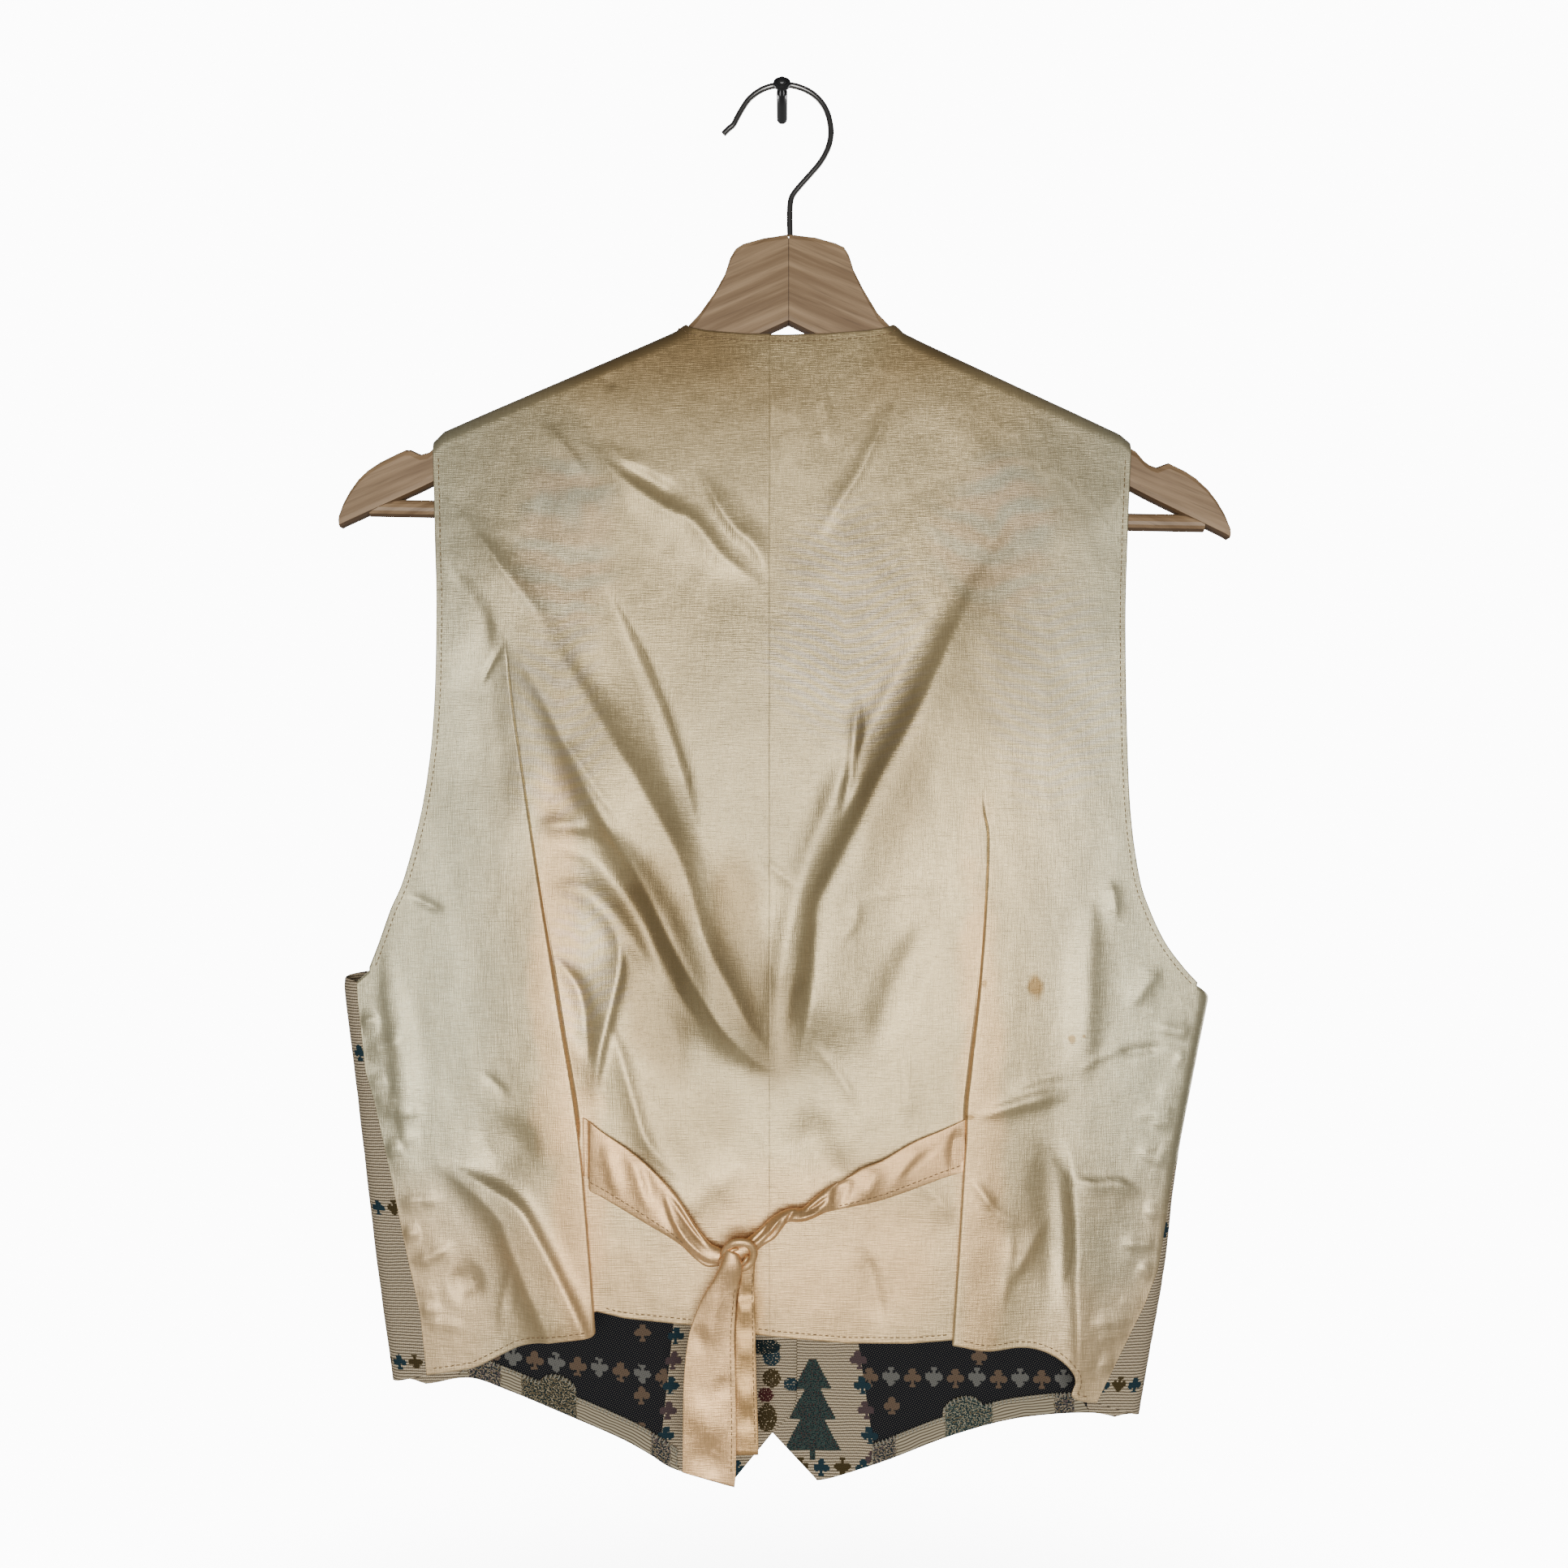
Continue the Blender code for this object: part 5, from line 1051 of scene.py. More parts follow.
def shimmer(look, place, x, z, at, radii, pitch, paints):
    """Colour of wavy bands that lean away from the middle of their place."""
    warp = look.times(look.plus(look.noise(place, PATCH_RAG / radii[0]), -0.5), SHIMMER_WARP * pitch * MM)
    lean = look.times(look.size(look.plus(x, -at[0] * MM)), SHIMMER_LEAN)
    return look.mix(look.ramp(look.wave(look.plus(z, warp, lean), pitch * MM), -1.0, 1.0), *paints)


def satin_look(name, cream, tint_share):
    """Acetate satin: cream, peachier near the darts and hem, browner at the neck, greyer at the sides."""
    look = Look(name, Metallic=0.65, Anisotropic=0.4, Sheen_Weight=0.08, Sheen_Roughness=0.4)
    place = look.object_place()
    x, _, z = look.split(place)
    clouds = look.noise(place, 9.0, 3.0)
    brown = look.times(look.ramp(z, *BROWN_HEIGHTS), look.ramp(clouds, 0.2, 0.6))
    colour = look.mix(look.times(brown, 0.9), cream, SATIN_BROWN)
    grey = look.ramp(look.plus(look.size(x), look.times(clouds, 0.05)), *GREY_OUT)
    colour = look.mix(look.times(grey, 0.8), colour, SATIN_GREY)
    low = look.times(look.ramp(z, *PEACH_HEIGHTS), look.ramp(clouds, 0.3, 0.65))
    colour = look.mix(look.plus(look.times(low, 0.6), tint_share), colour, SATIN_PEACH)
    # The brown and dusky patches are painted shade; the small stain patches are stains, the peach and gold
    # ones tints
    for at, radii, strength, paint in SATIN_PATCHES:
        colour = look.mix(look.times(patch(look, place, x, z, at, radii), strength), colour, paint)
    for at, radii, pitch, strength, paints in SHIMMERS:
        tint = shimmer(look, place, x, z, at, radii, pitch, paints)
        colour = look.mix(look.times(patch(look, place, x, z, at, radii), strength), colour, tint)
    weft = look.streaks(place, (THREAD_LONG, THREAD_LONG, THREAD_FINE), 2.0)
    weave = look.times(weft, look.streaks(place, (THREAD_FINE, THREAD_LONG, THREAD_LONG), 2.0))
    colour = look.mix(look.ramp(weave, 0.33, 0.16, 0.0, 0.28), colour, SATIN_SHADE)
    height = look.plus(look.times(weave, 0.5), look.streaks(place, (70.0, 70.0, 45.0), 3.0))
    return look.finish(colour, look.ramp(clouds, 0.3, 0.7, 0.33, 0.40), height, 0.35, 0.0012)


def wood_look():
    """Hardwood whose grain runs down along each arm, with painted shade on its underside."""
    look = Look("pale_wood", Coat_Weight=0.12, Coat_Roughness=0.35)
    x, y, z = look.split(look.object_place())
    fall = look.times(look.size(look.plus(x, -MITRE_X * MM)), ARM_FALL)
    place = look.add("CombineXYZ", {0: x, 1: y, 2: look.plus(z, fall)}).outputs[0]
    grain = look.streaks(place, (9.0, 60.0, 170.0), 6.0, 0.65)
    pores = look.streaks(place, (40.0, 900.0, 900.0), 2.0)
    colour = look.mix(look.ramp(grain, 0.3, 0.7), WOOD_LIGHT, WOOD_DARK)
    colour = look.mix(look.ramp(pores, 0.55, 0.75, 0.0, 0.35), colour, WOOD_PORE_AND_SHADE)
    # Painted shade: the wood darkens towards the pore colour where it faces downwards
    _, _, upward = look.split(look.add("TexCoord").outputs["Normal"])
    colour = look.mix(look.ramp(upward, -0.4, -0.9, 0.0, 0.85), colour, WOOD_PORE_AND_SHADE)
    return look.finish(colour, 0.42, grain, 0.15, 0.0004)


def plain_look(name, colour, roughness, **constants):
    """One colour, slightly clouded."""
    look = Look(name, **constants)
    place = look.object_place()
    darker = tuple(channel * 0.75 for channel in colour)
    colour = look.mix(look.noise(place, 120.0, 3.0), colour, darker)
    return look.finish(colour, roughness, look.noise(place, 900.0), 0.05, 0.0003)


def circle(look, p, q, at_p, at_q, radius):
    """1 inside a circle."""
    return look.below(look.squares(look.plus(p, -at_p), look.plus(q, -at_q)), radius ** 2)


def club(look, p, q, width):
    """1 inside a club of this width round (0, 0), its stem downwards."""
    p = look.size(p)
    lobes = look.either(circle(look, p, q, 0.28 * width, -0.05 * width, 0.23 * width),
                        circle(look, p, q, 0.0, 0.30 * width, 0.22 * width))
    stem = look.times(look.below(p, 0.10 * width), look.between(q, -0.55 * width, 0.1 * width))
    foot = look.times(look.below(p, 0.20 * width), look.between(q, -0.58 * width, -0.42 * width))
    return look.either(lobes, stem, foot)


def club_row(look, colour, u, v, first, sizes, upright, upturned):
    """Colour with a row of clubs laid over it at v = 0, every second one upturned."""
    pitch, width = sizes
    place = look.times(look.minus(u, first), 1 / pitch)
    number = look.maths("ROUND", place)
    p = look.times(look.minus(place, number), pitch)
    odd = look.maths("PINGPONG", number, 1.0)
    q = look.times(v, look.plus(1.0, look.times(odd, -2.0)))
    return look.mix(club(look, p, q, width), colour, look.mix(odd, upright, upturned))


def fir(look, u, v, apex_u, apex_v, height, half_width):
    """1 inside a fir tree of three tiers."""
    down = look.times(look.plus(v, -apex_v), -1.0 / height)
    tier = look.maths("FRACT", look.times(down, 3.0))
    reach = look.times(half_width, look.plus(0.12, look.times(down, 0.45), look.times(tier, 0.38)))
    off = look.size(look.plus(u, -apex_u))
    trunk = look.times(look.below(off, 1.4), look.between(down, 0.9, 1.12))
    return look.either(look.times(look.below(off, reach), look.between(down, 0.0, 1.0)), trunk)


def by_side(look, side, pair):
    """The left front's number or the right one's, where `side` is -1 or 1."""
    left, right = pair
    return look.plus(look.times(look.plus(side, 1.0), 0.5 * right),
                     look.times(look.plus(side, -1.0), -0.5 * left))


def tapestry_grounds(look, place, across, up, wavy):
    """Ribbed cream and dotted navy, and the height of the ribs and of the dots."""
    ribs = look.wave(wavy, RIB_PITCH)
    fleck = look.streaks(place, (0.8, 6.0, 1.0), 1.0)
    cream = look.mix(look.ramp(ribs, -0.95, 0.1), TAPESTRY_LINE, TAPESTRY_CREAM)
    cream = look.mix(look.ramp(fleck, 0.5, 0.8, 0.0, 0.35), cream, TAPESTRY_LINE)
    dots = look.times(look.wave(look.plus(across, up), TWILL_PITCH),
                      look.wave(look.minus(across, up), 2 * TWILL_PITCH))
    navy = look.mix(look.ramp(look.plus(dots, look.times(fleck, 0.5)), 0.55, 1.1), NAVY, NAVY_DOT)
    return cream, navy, ribs, dots


def navy_blocks(look, side, out, up):
    """1 where the tapestry is navy, and how far out the slanting edge beside the buttons lies."""
    slant = by_side(look, side, EDGE_SLANT)
    edge = look.plus(by_side(look, side, EDGE_OUT), look.times(slant, look.plus(up, -EDGE_LEVEL)))
    middle = look.times(look.above(out, edge), look.below(out, NAVY_OUT))
    number = look.maths("FLOOR", look.times(look.plus(up, -BLOCK_TOP), 1 / BLOCK_HEIGHT))
    block = look.maths("PINGPONG", number, 1.0)
    swapped = look.times(look.below(out, edge), look.minus(1.0, block))
    return look.plus(look.times(middle, block), swapped), edge


def with_navy_clubs(look, colour, is_navy, side, out, u, v):
    """Colour with the rows of clubs in the navy blocks, which climb outwards on the left front."""
    climb = look.times(by_side(look, side, NAVY_ROW_CLIMB), look.plus(out, -NAVY_ROW_PIVOT))
    row = look.repeated(look.minus(v, look.plus(NAVY_ROW, climb)), BLOCK_HEIGHT / 2)
    first = by_side(look, side, NAVY_FIRST)
    rows = club_row(look, colour, look.size(u), row, first, NAVY_CLUBS, TAN, GREY)
    colour = look.mix(is_navy, colour, rows)
    for at_u, at_v in TAN_CLUBS:
        colour = look.mix(club(look, look.plus(u, -at_u), look.plus(v, -at_v), TAN_WIDTH), colour, TAN)
    return colour


def with_edge_clubs(look, colour, edge, side, out, u, v):
    """Colour with the clubs down the slanting edge, along the middle's hem and across the side strip."""
    pitch, width = BORDER_CLUBS
    step = look.times(look.plus(v, -BORDER_LEVEL), 1 / pitch)
    number = look.maths("ROUND", step)
    q = look.times(look.minus(step, number), pitch)
    paint = look.mix(look.maths("PINGPONG", number, 1.0), TEAL, MAUVE)
    beside = look.plus(look.minus(look.size(u), edge), BORDER_IN)
    colour = look.mix(club(look, beside, q, width), colour, paint)
    row = look.repeated(look.plus(v, -HEM_ROW), BLOCK_HEIGHT)
    rows = club_row(look, colour, u, row, HEM_FIRST, HEM_CLUBS, TEAL, OLIVE)
    colour = look.mix(look.below(out, HEM_ROW_OUT), colour, rows)
    lean = look.times(look.plus(v, -STRIP_LEVEL), STRIP_LEAN)
    row = look.repeated(look.minus(v, by_side(look, side, STRIP_ROW)), STRIP_PITCH)
    first = look.plus(by_side(look, side, STRIP_FIRST), lean)
    rows = club_row(look, colour, look.size(u), row, first, STRIP_CLUBS, TEAL, OLIVE)
    return look.mix(look.above(out, NAVY_OUT + STRIP_GAP), colour, rows)


def tapestry_look(name):
    """Jacquard: ribbed cream and dotted navy blocks, with rows of small clubs and fir trees."""
    look = Look(name, Specular_IOR_Level=0.15)
    place, (across, up, _) = look.flat_place()
    side, out = look.maths("SIGN", across), look.size(across)
    wavy = look.plus(up, look.times(look.plus(look.noise(place, 0.05, 1.0), -0.5), 1.6))
    cream, navy, ribs, dots = tapestry_grounds(look, place, across, up, wavy)
    is_navy, edge = navy_blocks(look, side, out, up)
    colour = look.mix(is_navy, cream, navy)
    u, v = look.maths("SNAP", across, WEAVE_CELL), look.maths("SNAP", wavy, WEAVE_CELL)
    speckle = look.streaks(place, (1.3, 1.6, 1.0), 0.0)
    green = look.mix(look.ramp(speckle, 0.42, 0.5), FIR_DARK, FIR_GREEN)
    green = look.mix(look.ramp(speckle, 0.62, 0.66), green, FIR_RED)
    for tree in FIRS:
        colour = look.mix(fir(look, u, v, *tree), colour, green)
    colour = with_navy_clubs(look, colour, is_navy, side, out, u, v)
    colour = with_edge_clubs(look, colour, edge, side, out, u, v)
    for flattened, at_u, at_v, radius, paint in SMALL_FORMS:
        mask = circle(look, u, look.times(look.plus(v, -at_v), flattened), at_u, 0.0, radius)
        colour = look.mix(look.times(mask, look.ramp(speckle, 0.3, 0.36)), colour, paint)
    colour = look.mix(look.ramp(dots, 0.1, -0.5, 0.0, 0.45), colour, NAVY)
    ribbed = look.times(ribs, look.plus(1.0, look.times(is_navy, -0.8)))
    return look.finish(colour, 0.85, look.plus(ribbed, look.times(dots, is_navy)), 0.55, 0.0004)


def facing_look(name):
    """Hem's facing: ribs that run along it, with patches of the woven pattern."""
    look = Look(name, Sheen_Weight=0.1, Specular_IOR_Level=0.25)
    place, (_, from_hem, _) = look.flat_place()
    ribs = look.wave(look.plus(from_hem, look.times(look.noise(place, 0.08, 1.0), 2.0)), RIB_PITCH)
    colour = look.mix(look.ramp(ribs, -0.9, 0.2), TAPESTRY_LINE, FACING_CREAM)
    x, _, _ = look.split(look.object_place())
    speckle = look.streaks(place, (1.0, 1.3, 1.0), 0.0)
    for middle, half, paint in FACING_PATCHES:
        away = look.plus(look.size(look.plus(x, -middle * MM)), look.times(speckle, -3.0 * MM))
        woven = look.mix(look.ramp(speckle, 0.44, 0.48), FIR_DARK, paint)
        woven = look.mix(look.ramp(speckle, 0.55, 0.58), woven, FACING_CREAM)
        woven = look.mix(look.ramp(speckle, 0.62, 0.64), woven, OLIVE)
        colour = look.mix(look.below(away, (half - 1.5) * MM), colour, woven)
    return look.finish(colour, 0.85, ribs, 0.5, 0.0004)


def facing_lines(side):
    """Flat points of the facing's hem edge, the direction into the cloth, and its width there."""
    hem = line_curve(spline(mirrored(side, FRONT_HEM[side]), 6))
    line = hem(np.linspace(*FACING_SPAN[side], FACING_STEPS))
    ahead = heading(line)
    middle, radius = FACING_ARCH[side]
    arch = np.sqrt(np.maximum(radius ** 2 - (line[:, 0] * side - middle) ** 2, 0.0))
    ends = smooth(from_ends(FACING_STEPS) / 12)
    inward = np.stack([-ahead[:, 1], ahead[:, 0]], -1)
    return line, inward, (FACING_WIDTH + arch * 0.75) * (0.15 + 0.85 * ends)


def seen_line(line, outward=-1.0):
    """Line of points with the normals of a face that is turned to the viewer, or away with 1."""
    return line, np.broadcast_to((0.0, outward, 0.0), line.shape)


def make_facings(look, thread):
    for side, word in SIDE_WORD.items():
        line, inward, width = facing_lines(side)
        reached = run_length(line)
        share = np.linspace(0.0, 1.0, 9)[:, None]
        flat = line[None] + inward[None] * (0.5 + share * width[None])[..., None]
        lift = -(TAPESTRY_THICK + FACING_THICK) / 2 - FACING_GAP
        grid = front_at(side, flat[..., 0], flat[..., 1], lift)
        places = np.stack(np.broadcast_arrays(reached[None], share * width[None]), -1)
        piece = cloth(f"facing_{word}_cloth", grid, FACING_THICK, look, places, -side)
        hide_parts(f"facing_{word}")
        lines = []
        for start in np.arange(SERGE_PITCH, reached[-1] - SERGE_PITCH, SERGE_PITCH):
            at, into = rows_at(start, reached, line), rows_at(start, reached, inward)
            reach = np.interp(start, reached, width)
            ends = at + into * (reach + 0.5 + np.array(SERGE_REACH))[:, None]
            lines.append(seen_line(front_at(side, ends[:, 0], ends[:, 1], lift - FACING_THICK / 2)))
        stitches(f"facing_{word}_serging", lines, thread, pitch=SINGLE, length=SERGE_LENGTH, thread=SERGE_R,
                 first=0.0)


def closed_loft(rings):
    """Points and faces of a body through rings of equal size, closed at both ends."""
    size = len(rings[0])
    points = np.concatenate(rings)
    faces = []
    for ring in range(len(rings) - 1):
        for i in range(size):
            j = (i + 1) % size
            faces.append((ring * size + i, ring * size + j, (ring + 1) * size + j, (ring + 1) * size + i))
    faces.append(tuple(range(size))[::-1])
    faces.append(tuple(range((len(rings) - 1) * size, len(rings) * size)))
    return points, faces


def ribbon(name, rows, folds, look):
    """Band of satin seen flat on: between two edges, at a depth, with folds raised in its outer face."""
    rows = spline(rows, BAND_STEPS)
    share = np.sin(np.linspace(-math.pi / 2, math.pi / 2, BAND_ACROSS)) / 2 + 0.5
    x = rows[:, 0:1] * (1 - share) + rows[:, 2:3] * share
    z = rows[:, 1:2] * (1 - share) + rows[:, 3:4] * share
    rounded = np.sqrt(np.maximum(1 - (2 * share - 1) ** 2, 0.0))
    raised = sum(stroke_height(x, z, fold) for fold in folds) * np.minimum(rounded * 1.6, 1.0)
    outer = rows[:, 4:5] + BAND_THICK / 2 + rows[:, 5:6] * rounded + raised
    inner = rows[:, 4:5] - BAND_THICK / 2 + 0 * x
    front, back = np.stack([x, -outer, z], -1), np.stack([x, -inner, z], -1)
    points, faces = closed_loft([np.concatenate([a, b[::-1]]) for a, b in zip(front, back)])
    flat_across = np.linalg.norm(rows[:, 2:4] - rows[:, 0:2], axis=1)[:, None] * share
    flat_down = run_length(rows[:, :2])[:, None]
    flat = np.stack([flat_across, np.broadcast_to(flat_down, x.shape)], -1)
    flat = np.concatenate([np.concatenate([a, a[::-1]]) for a in flat])
    piece = mesh_object(name, points, faces, look, flat)
    return piece, front


def tube(name, rows, look, sides=14):
    """Rolled band: a bent tube through (x, depth, z, half width, half thickness)."""
    rows = spline(rows, TUBE_STEPS)
    centres = rows[:, :3] * (1, -1, 1)
    ahead = heading(centres)
    sideways = unit(np.cross(ahead, (0.0, -1.0, 0.0)))
    outward = np.cross(sideways, ahead)
    turns = round_turns(sides)
    ends = np.sin(np.clip(from_ends(len(rows)) / 3 + 0.15, 0, 1) * math.pi / 2)[:, None, None]
    rings = (centres[:, None] + ends * (rows[:, 3:4, None] * np.cos(turns)[None, :, None] * sideways[:, None]
             + rows[:, 4:5, None] * np.sin(turns)[None, :, None] * outward[:, None]))
    piece = mesh_object(name, *closed_loft(list(rings)), look)
    return piece


def stitches(name, lines, look, pitch=STITCH_PITCH, length=STITCH_LENGTH, thread=THREAD_R, first=0.8):
    """Rows of short stitches that lie half sunk along lines of points."""
    share, thick, sink = np.array(STITCH_SHAPE).T
    thick, sink = thick * thread, sink * thread
    turns = round_turns(6)
    points, faces = [], []
    for line, normals in lines:
        reached = run_length(line)
        for start in np.arange(first, max(reached[-1] - length, first + 0.01), pitch):
            at = start + share * length
            middle = rows_at(at, reached, line)
            out = unit(rows_at(at, reached, normals))
            side = unit(np.cross(out, middle[-1] - middle[0]))
            centre = middle + out * sink[:, None]
            rings = (centre[:, None] + thick[:, None, None] * (np.cos(turns)[None, :, None] * out[:, None]
                     + np.sin(turns)[None, :, None] * side[:, None]))
            found, quads = closed_loft(list(rings))
            known = sum(map(len, points))
            faces += [tuple(corner + known for corner in quad) for quad in quads]
            points.append(found)
    return mesh_object(name, np.concatenate(points), faces, look)


def make_ties(look, thread):
    lines = []
    for side, word in SIDE_WORD.items():
        rows = []
        for upper_x, upper_z, lower_x, lower_z, lift, rounded in TIE_BAND[side]:
            x, z = (upper_x + lower_x) / 2, (upper_z + lower_z) / 2
            below = float(back_depth(side, np.array([x]), np.array([z]), False, folds=False)[0])
            rows.append((upper_x, upper_z, lower_x, lower_z, below + BAND_LIFT + lift, rounded))
        piece, face = ribbon(f"tie_band_{word}_cloth", rows, BAND_FOLDS[side], look)
        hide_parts(f"tie_band_{word}")
        first, last = BAND_STITCHED[side]
        lines.append(seen_line(face[first:last, -6]))
    piece, face = ribbon("tie_tail_front_cloth", TAIL_FRONT, TAIL_FOLDS, look)
    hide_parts("tie_tail_front")
    lines.append(seen_line(face[14:-6, -5]))
    creases = [(0.8 if number % 2 else -0.8, 2.5, 2.5, 1.8, ((-24, z, 1), (-13, z + 2, 1)))
               for number, z in enumerate(REAR_CREASES)]
    piece, face = ribbon("tie_tail_rear_cloth", TAIL_REAR, creases, look)
    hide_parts("tie_tail_rear")
    lines.append(seen_line(face[2:-2, -6]))
    core = tube("knot_core", KNOT_CORE, look)
    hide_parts("tie_knot")
    tube("knot_loop", KNOT_LOOP, look)
    for number, rows in enumerate(KNOT_FOLDS):
        tube(f"knot_fold_{number}", rows, look, sides=10)
    stitches("tie_stitches", lines, thread)


def back_line(side, flat):
    """Line on the back's outer face through flat points, and its normals there."""
    across, up = flat[:, 0], flat[:, 1]
    on_side = (across > np.abs(dart_x(side, up)))[:, None]

    def at(right, above):
        place = side, across + right, up + above
        return np.where(on_side, back_at(*place, True), back_at(*place, False))

    point = at(0, 0)
    normal = unit(np.cross(at(0.5, 0) - point, at(0, 0.5) - point) * side)
    return point + normal * (SATIN_THICK / 2), normal


def inside_line(curve, inset, start, end, turn):
    """Flat points at an inset from an edge curve, on the side that `turn` says."""
    line = curve(np.linspace(start, end, 200))
    ahead = heading(line)
    return line + turn * inset * np.stack([ahead[:, 1], -ahead[:, 0]], -1)


def make_back_stitches(thread):
    for side, word in SIDE_WORD.items():
        dart = DART[side][0][0] - side * DART_CLEAR
        neck_share = (NECK_POINT_X[side] - CENTRE_BACK_X) / (dart - CENTRE_BACK_X)
        edges = ((back_top_curve(side), NECK_IN, 0, neck_share * STITCHED, 1),
                 (armhole_curve(side, False), ARMHOLE_IN, 0.05, 1.0, 1),
                 (curve_by_x(side, CENTRE_HEM[side]), HEM_IN, 0, STITCHED, -1),
                 (side_hem(side, 3.0), HEM_IN, 0, STITCHED, -1))
        lines = [back_line(side, inside_line(*edge)) for edge in edges]
        stitches(f"back_{word}_stitches", lines, thread)


def make_hook(look):
    curve = bpy.data.curves.new("hook_wire", "CURVE")
    curve.dimensions = "3D"
    curve.bevel_depth = WIRE_R * MM
    curve.bevel_resolution = 6
    curve.use_fill_caps = True
    line = spline(HOOK_POINTS, 6)
    run = curve.splines.new("POLY")
    run.points.add(len(line) - 1)
    for point, (x, z) in zip(run.points, line):
        point.co = (x * MM, 0, z * MM, 1)
    run.use_smooth = True
    curve.materials.append(look)
    wire = add_object("hook_wire", curve)
    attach(wire, "root")
    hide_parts("hanger_hook")


def oval(x, y, z, half_width, half_height, turns):
    """Ring of points in a plane that faces the viewer."""
    return np.stack([x + half_width * np.cos(turns), 0 * turns + y, z + half_height * np.sin(turns)], -1)


def make_peg(look):
    rings = [oval(PEG_X, y, z, half_width, half_height, round_turns(32))
             for y, z, half_width, half_height in PEG_RINGS]
    peg = mesh_object("peg", *closed_loft(rings), look)
    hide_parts("wall_peg")


def make_buttons(look, dark, thread):
    turns = round_turns(40)
    for number in range(BUTTON_COUNT):
        z = BUTTON_TOP_Z - number * BUTTON_PITCH
        seat = float(front_depth(RIGHT, np.array([BUTTON_X]), np.array([z]))[0]) + TAPESTRY_THICK / 2
        rings = [oval(BUTTON_X, seat + BUTTON_H * height, z, BUTTON_R * radius, BUTTON_R * radius, turns)
                 for radius, height in BUTTON_PROFILE]
        button = mesh_object(f"button_{number + 1}_disc", *closed_loft(rings), look)
        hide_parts(f"button_{number + 1}")
        face = seat + BUTTON_H * BUTTON_FACE
        # Each hole is a near-black cap on the button's face, painted shade in place of a hole
        for corner in range(4):
            turn = math.pi / 4 + corner * math.pi / 2
            x, height = BUTTON_X + BUTTON_HOLE_OUT * math.cos(turn), z + BUTTON_HOLE_OUT * math.sin(turn)
            rings = [oval(x, face + out, height, BUTTON_HOLE_R * radius, BUTTON_HOLE_R * radius, turns)
                     for radius, out in BUTTON_HOLE_PROFILE]
            mesh_object(f"button_{number + 1}_hole_{corner}", *closed_loft(rings), dark)
        lines = []
        for down in (1, -1):
            ends = np.array([(BUTTON_X - CROSS_OUT, face, z - down * CROSS_OUT), (BUTTON_X, face + 0.4, z),
                             (BUTTON_X + CROSS_OUT, face, z + down * CROSS_OUT)])
            lines.append(seen_line(ends, 1.0))
        stitches(f"button_{number + 1}_thread", lines, thread, pitch=SINGLE, length=3.4, thread=0.4)


def make_glue_line(look):
    """Glue that fills the mitre between the hanger's two boards."""
    rings = []
    for share in np.linspace(0.0, 1.0, 12):
        z = MITRE_TOP + share * (MITRE_FOOT - MITRE_TOP)
        deep = MITRE_HALF_DEPTH * (0.9 + 0.1 * math.sin(math.pi * share))
        rings.append(np.array([(MITRE_X - GLUE_HALF, -deep, z), (MITRE_X + GLUE_HALF, -deep, z),
                               (MITRE_X + GLUE_HALF, deep, z), (MITRE_X - GLUE_HALF, deep, z)]))
    mesh_object("mitre_glue", *closed_loft(rings), look, smooth_faces=False)


def make_hanger(look):
    """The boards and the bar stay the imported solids, with the wood's look."""
    for node in ("hanger_arm_left", "hanger_arm_right", "hanger_bar"):
        thing = bpy.data.objects[node]
        for place in thing.material_slots:
            place.material = look


def make_backs(look):
    for side, word in SIDE_WORD.items():
        piece = cloth(f"back_{word}_cloth", back_grid(side), SATIN_THICK, look, outward=side)
        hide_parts(f"back_{word}")


def make_fronts(look):
    for side, word in SIDE_WORD.items():
        grid, flat = front_grid(side)
        piece = cloth(f"front_{word}_cloth", grid, TAPESTRY_THICK, look, flat * (side, 1), -side)
        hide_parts(f"front_{word}")


def add_light(name, at, size, power):
    light = bpy.data.lights.new(name, "AREA")
    light.shape, light.size, light.size_y = "RECTANGLE", *size
    light.energy = power
    lamp = add_object(name, light)
    lamp.location = at
    lamp.rotation_euler = (Vector(LIT) - Vector(at)).to_track_quat("-Z", "Y").to_euler()


def floor_look():
    """Pale paint that fades out towards the floor's rim."""
    look = Look("floor_paint", Roughness=0.9)
    x, y, _ = look.split(look.object_place())
    away = look.maths("SQRT", look.squares(x, y))
    shown = look.ramp(away, FLOOR_SIZE * 0.48, FLOOR_SIZE * 0.1, 0.0, FLOOR_COVER)
    look.put(shown, look.shader.inputs["Alpha"])
    return look.finish(FLOOR_PAINT)


def make_floor():
    half = FLOOR_SIZE / 2
    mesh = bpy.data.meshes.new("floor")
    corners = ((-half, -half), (half, -half), (half, half), (-half, half))
    mesh.from_pydata([(x, y, FLOOR_Z) for x, y in corners], [], [(0, 1, 2, 3)])
    mesh.materials.append(floor_look())
    floor = add_object("floor", mesh)


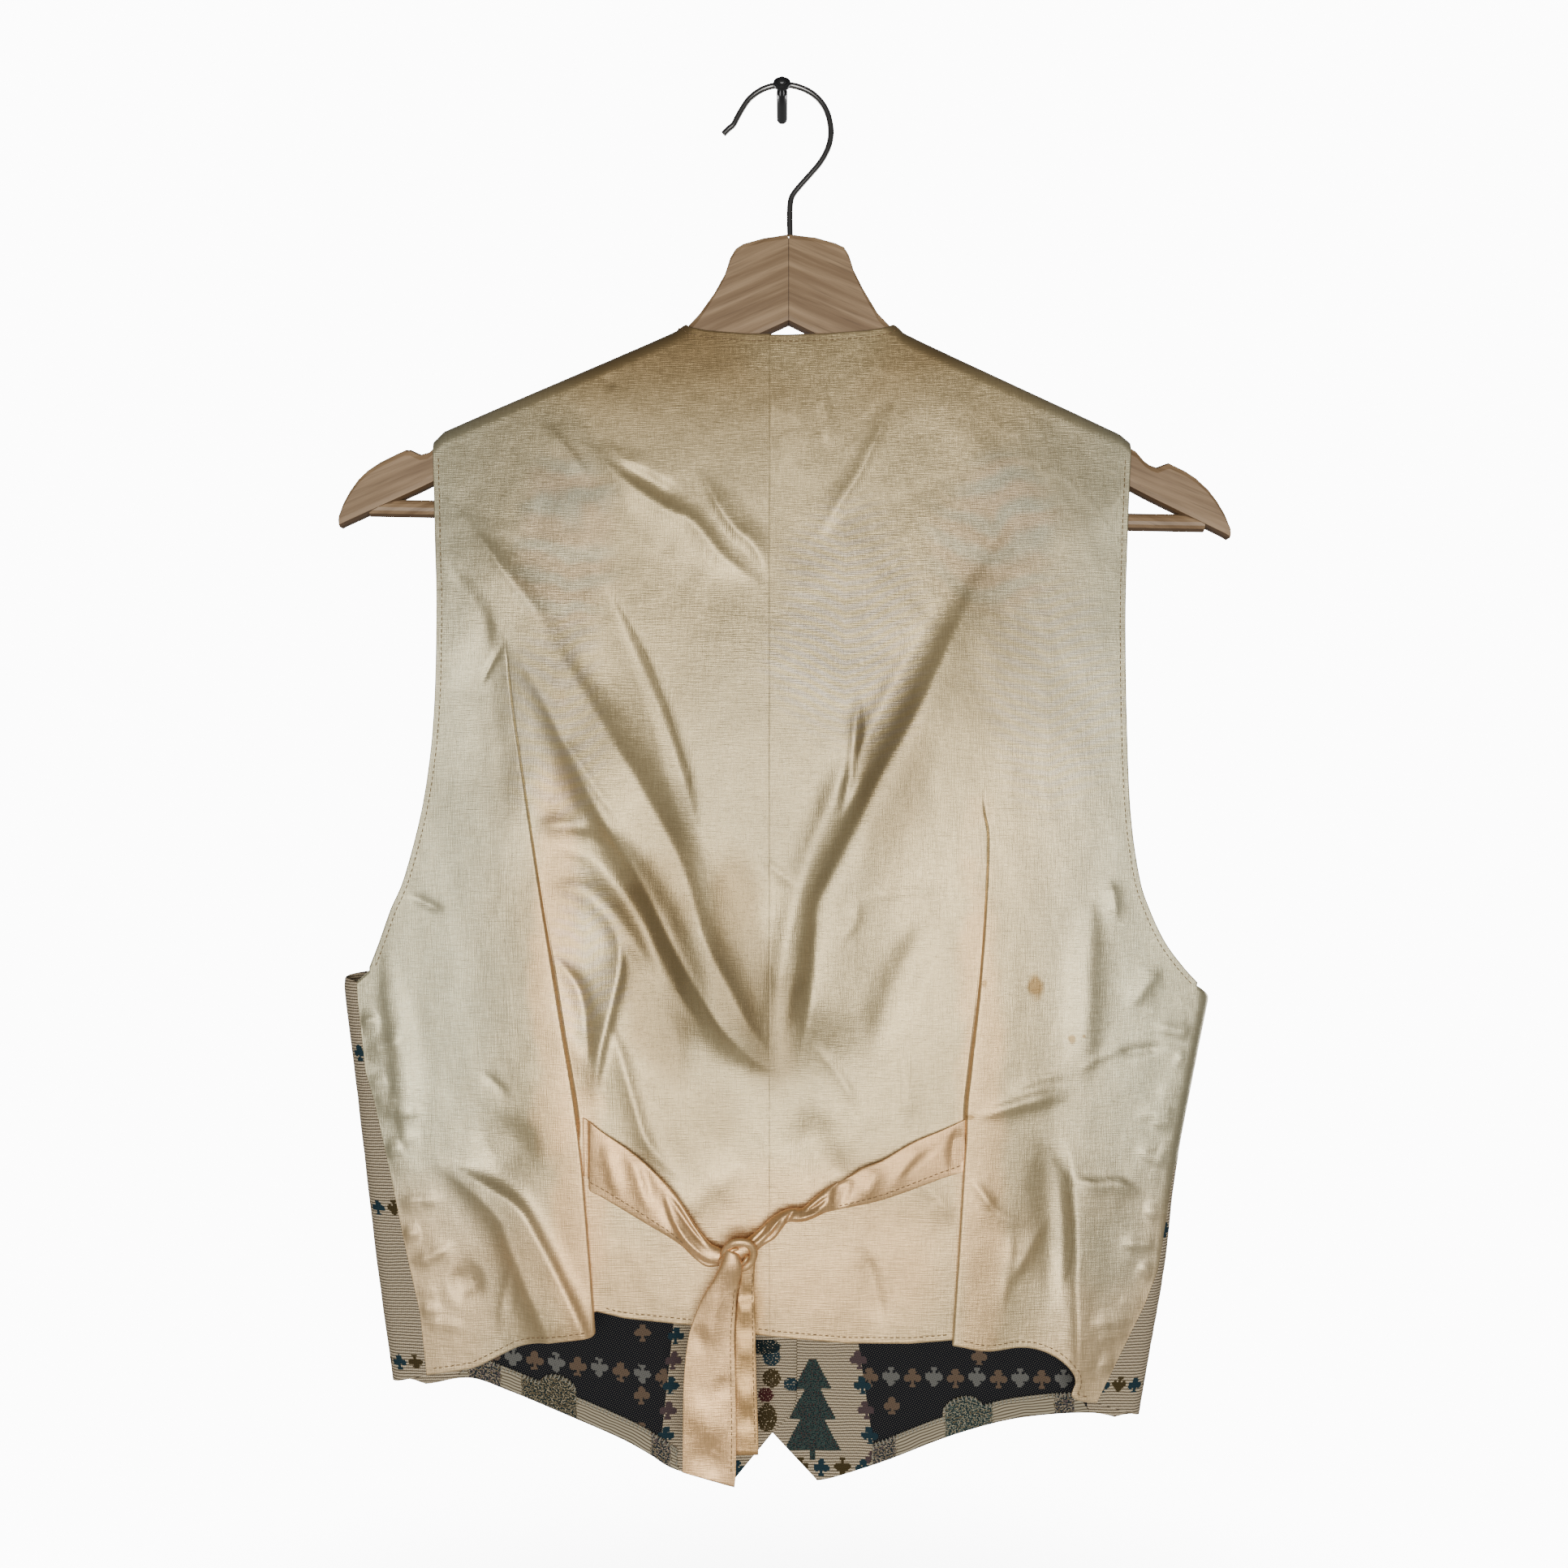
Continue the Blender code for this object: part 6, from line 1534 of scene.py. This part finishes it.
def make_world():
    """White behind the object, and a faint even light from all round."""
    world = bpy.data.worlds.new("studio")
    world.use_nodes = True
    bpy.context.scene.world = world
    tree = world.node_tree
    shown = tree.nodes["Background"]
    shown.inputs["Color"].default_value = (1, 1, 1, 1)
    shown.inputs["Strength"].default_value = BACKGROUND
    fill = tree.nodes.new("ShaderNodeBackground")
    fill.inputs["Strength"].default_value = FILL
    path = tree.nodes.new("ShaderNodeLightPath")
    choose = tree.nodes.new("ShaderNodeMixShader")
    tree.links.new(path.outputs["Is Camera Ray"], choose.inputs[0])
    tree.links.new(fill.outputs[0], choose.inputs[1])
    tree.links.new(shown.outputs[0], choose.inputs[2])
    tree.links.new(choose.outputs[0], tree.nodes["World Output"].inputs[0])


def make_studio():
    camera = bpy.data.cameras.new("camera")
    camera.lens, camera.sensor_width = LENS, SENSOR
    camera.clip_start, camera.clip_end = 0.01, 50.0
    viewer = add_object("camera", camera)
    viewer.location = CAMERA_AT
    viewer.rotation_euler = (math.pi / 2, 0.0, 0.0)
    bpy.context.scene.camera = viewer
    make_floor()
    make_world()
    add_light("softbox", (0.0, -1.7, -0.58), (1.1, 0.95), KEY)
    for side, word in SIDE_WORD.items():
        add_light(f"rear_box_{word}", (side * 1.35, 1.15, -0.45), (1.0, 1.0), REAR)


satin, tie_satin = satin_look("satin", SATIN_CREAM, 0.0), satin_look("tie_satin", SATIN_TIE, 0.5)
tapestry = tapestry_look("tapestry")
thread = plain_look("thread", THREAD, 0.7)
hole_shade_look = plain_look("button_hole_shade", HOLE_SHADE, 0.6)
make_backs(satin)
make_fronts(tapestry)
make_facings(facing_look("facing"), plain_look("serging", SERGING, 0.8))
make_ties(tie_satin, thread)
make_back_stitches(thread)
make_hook(Look("steel", Metallic=1.0).finish(STEEL, 0.24))
make_peg(plain_look("peg_enamel", ENAMEL, 0.35, Coat_Weight=0.4))
make_buttons(plain_look("button_horn", HORN, 0.3, Coat_Weight=0.5), hole_shade_look, thread)
make_hanger(wood_look())
make_glue_line(plain_look("old_glue", OLD_GLUE, 0.6))
make_studio()
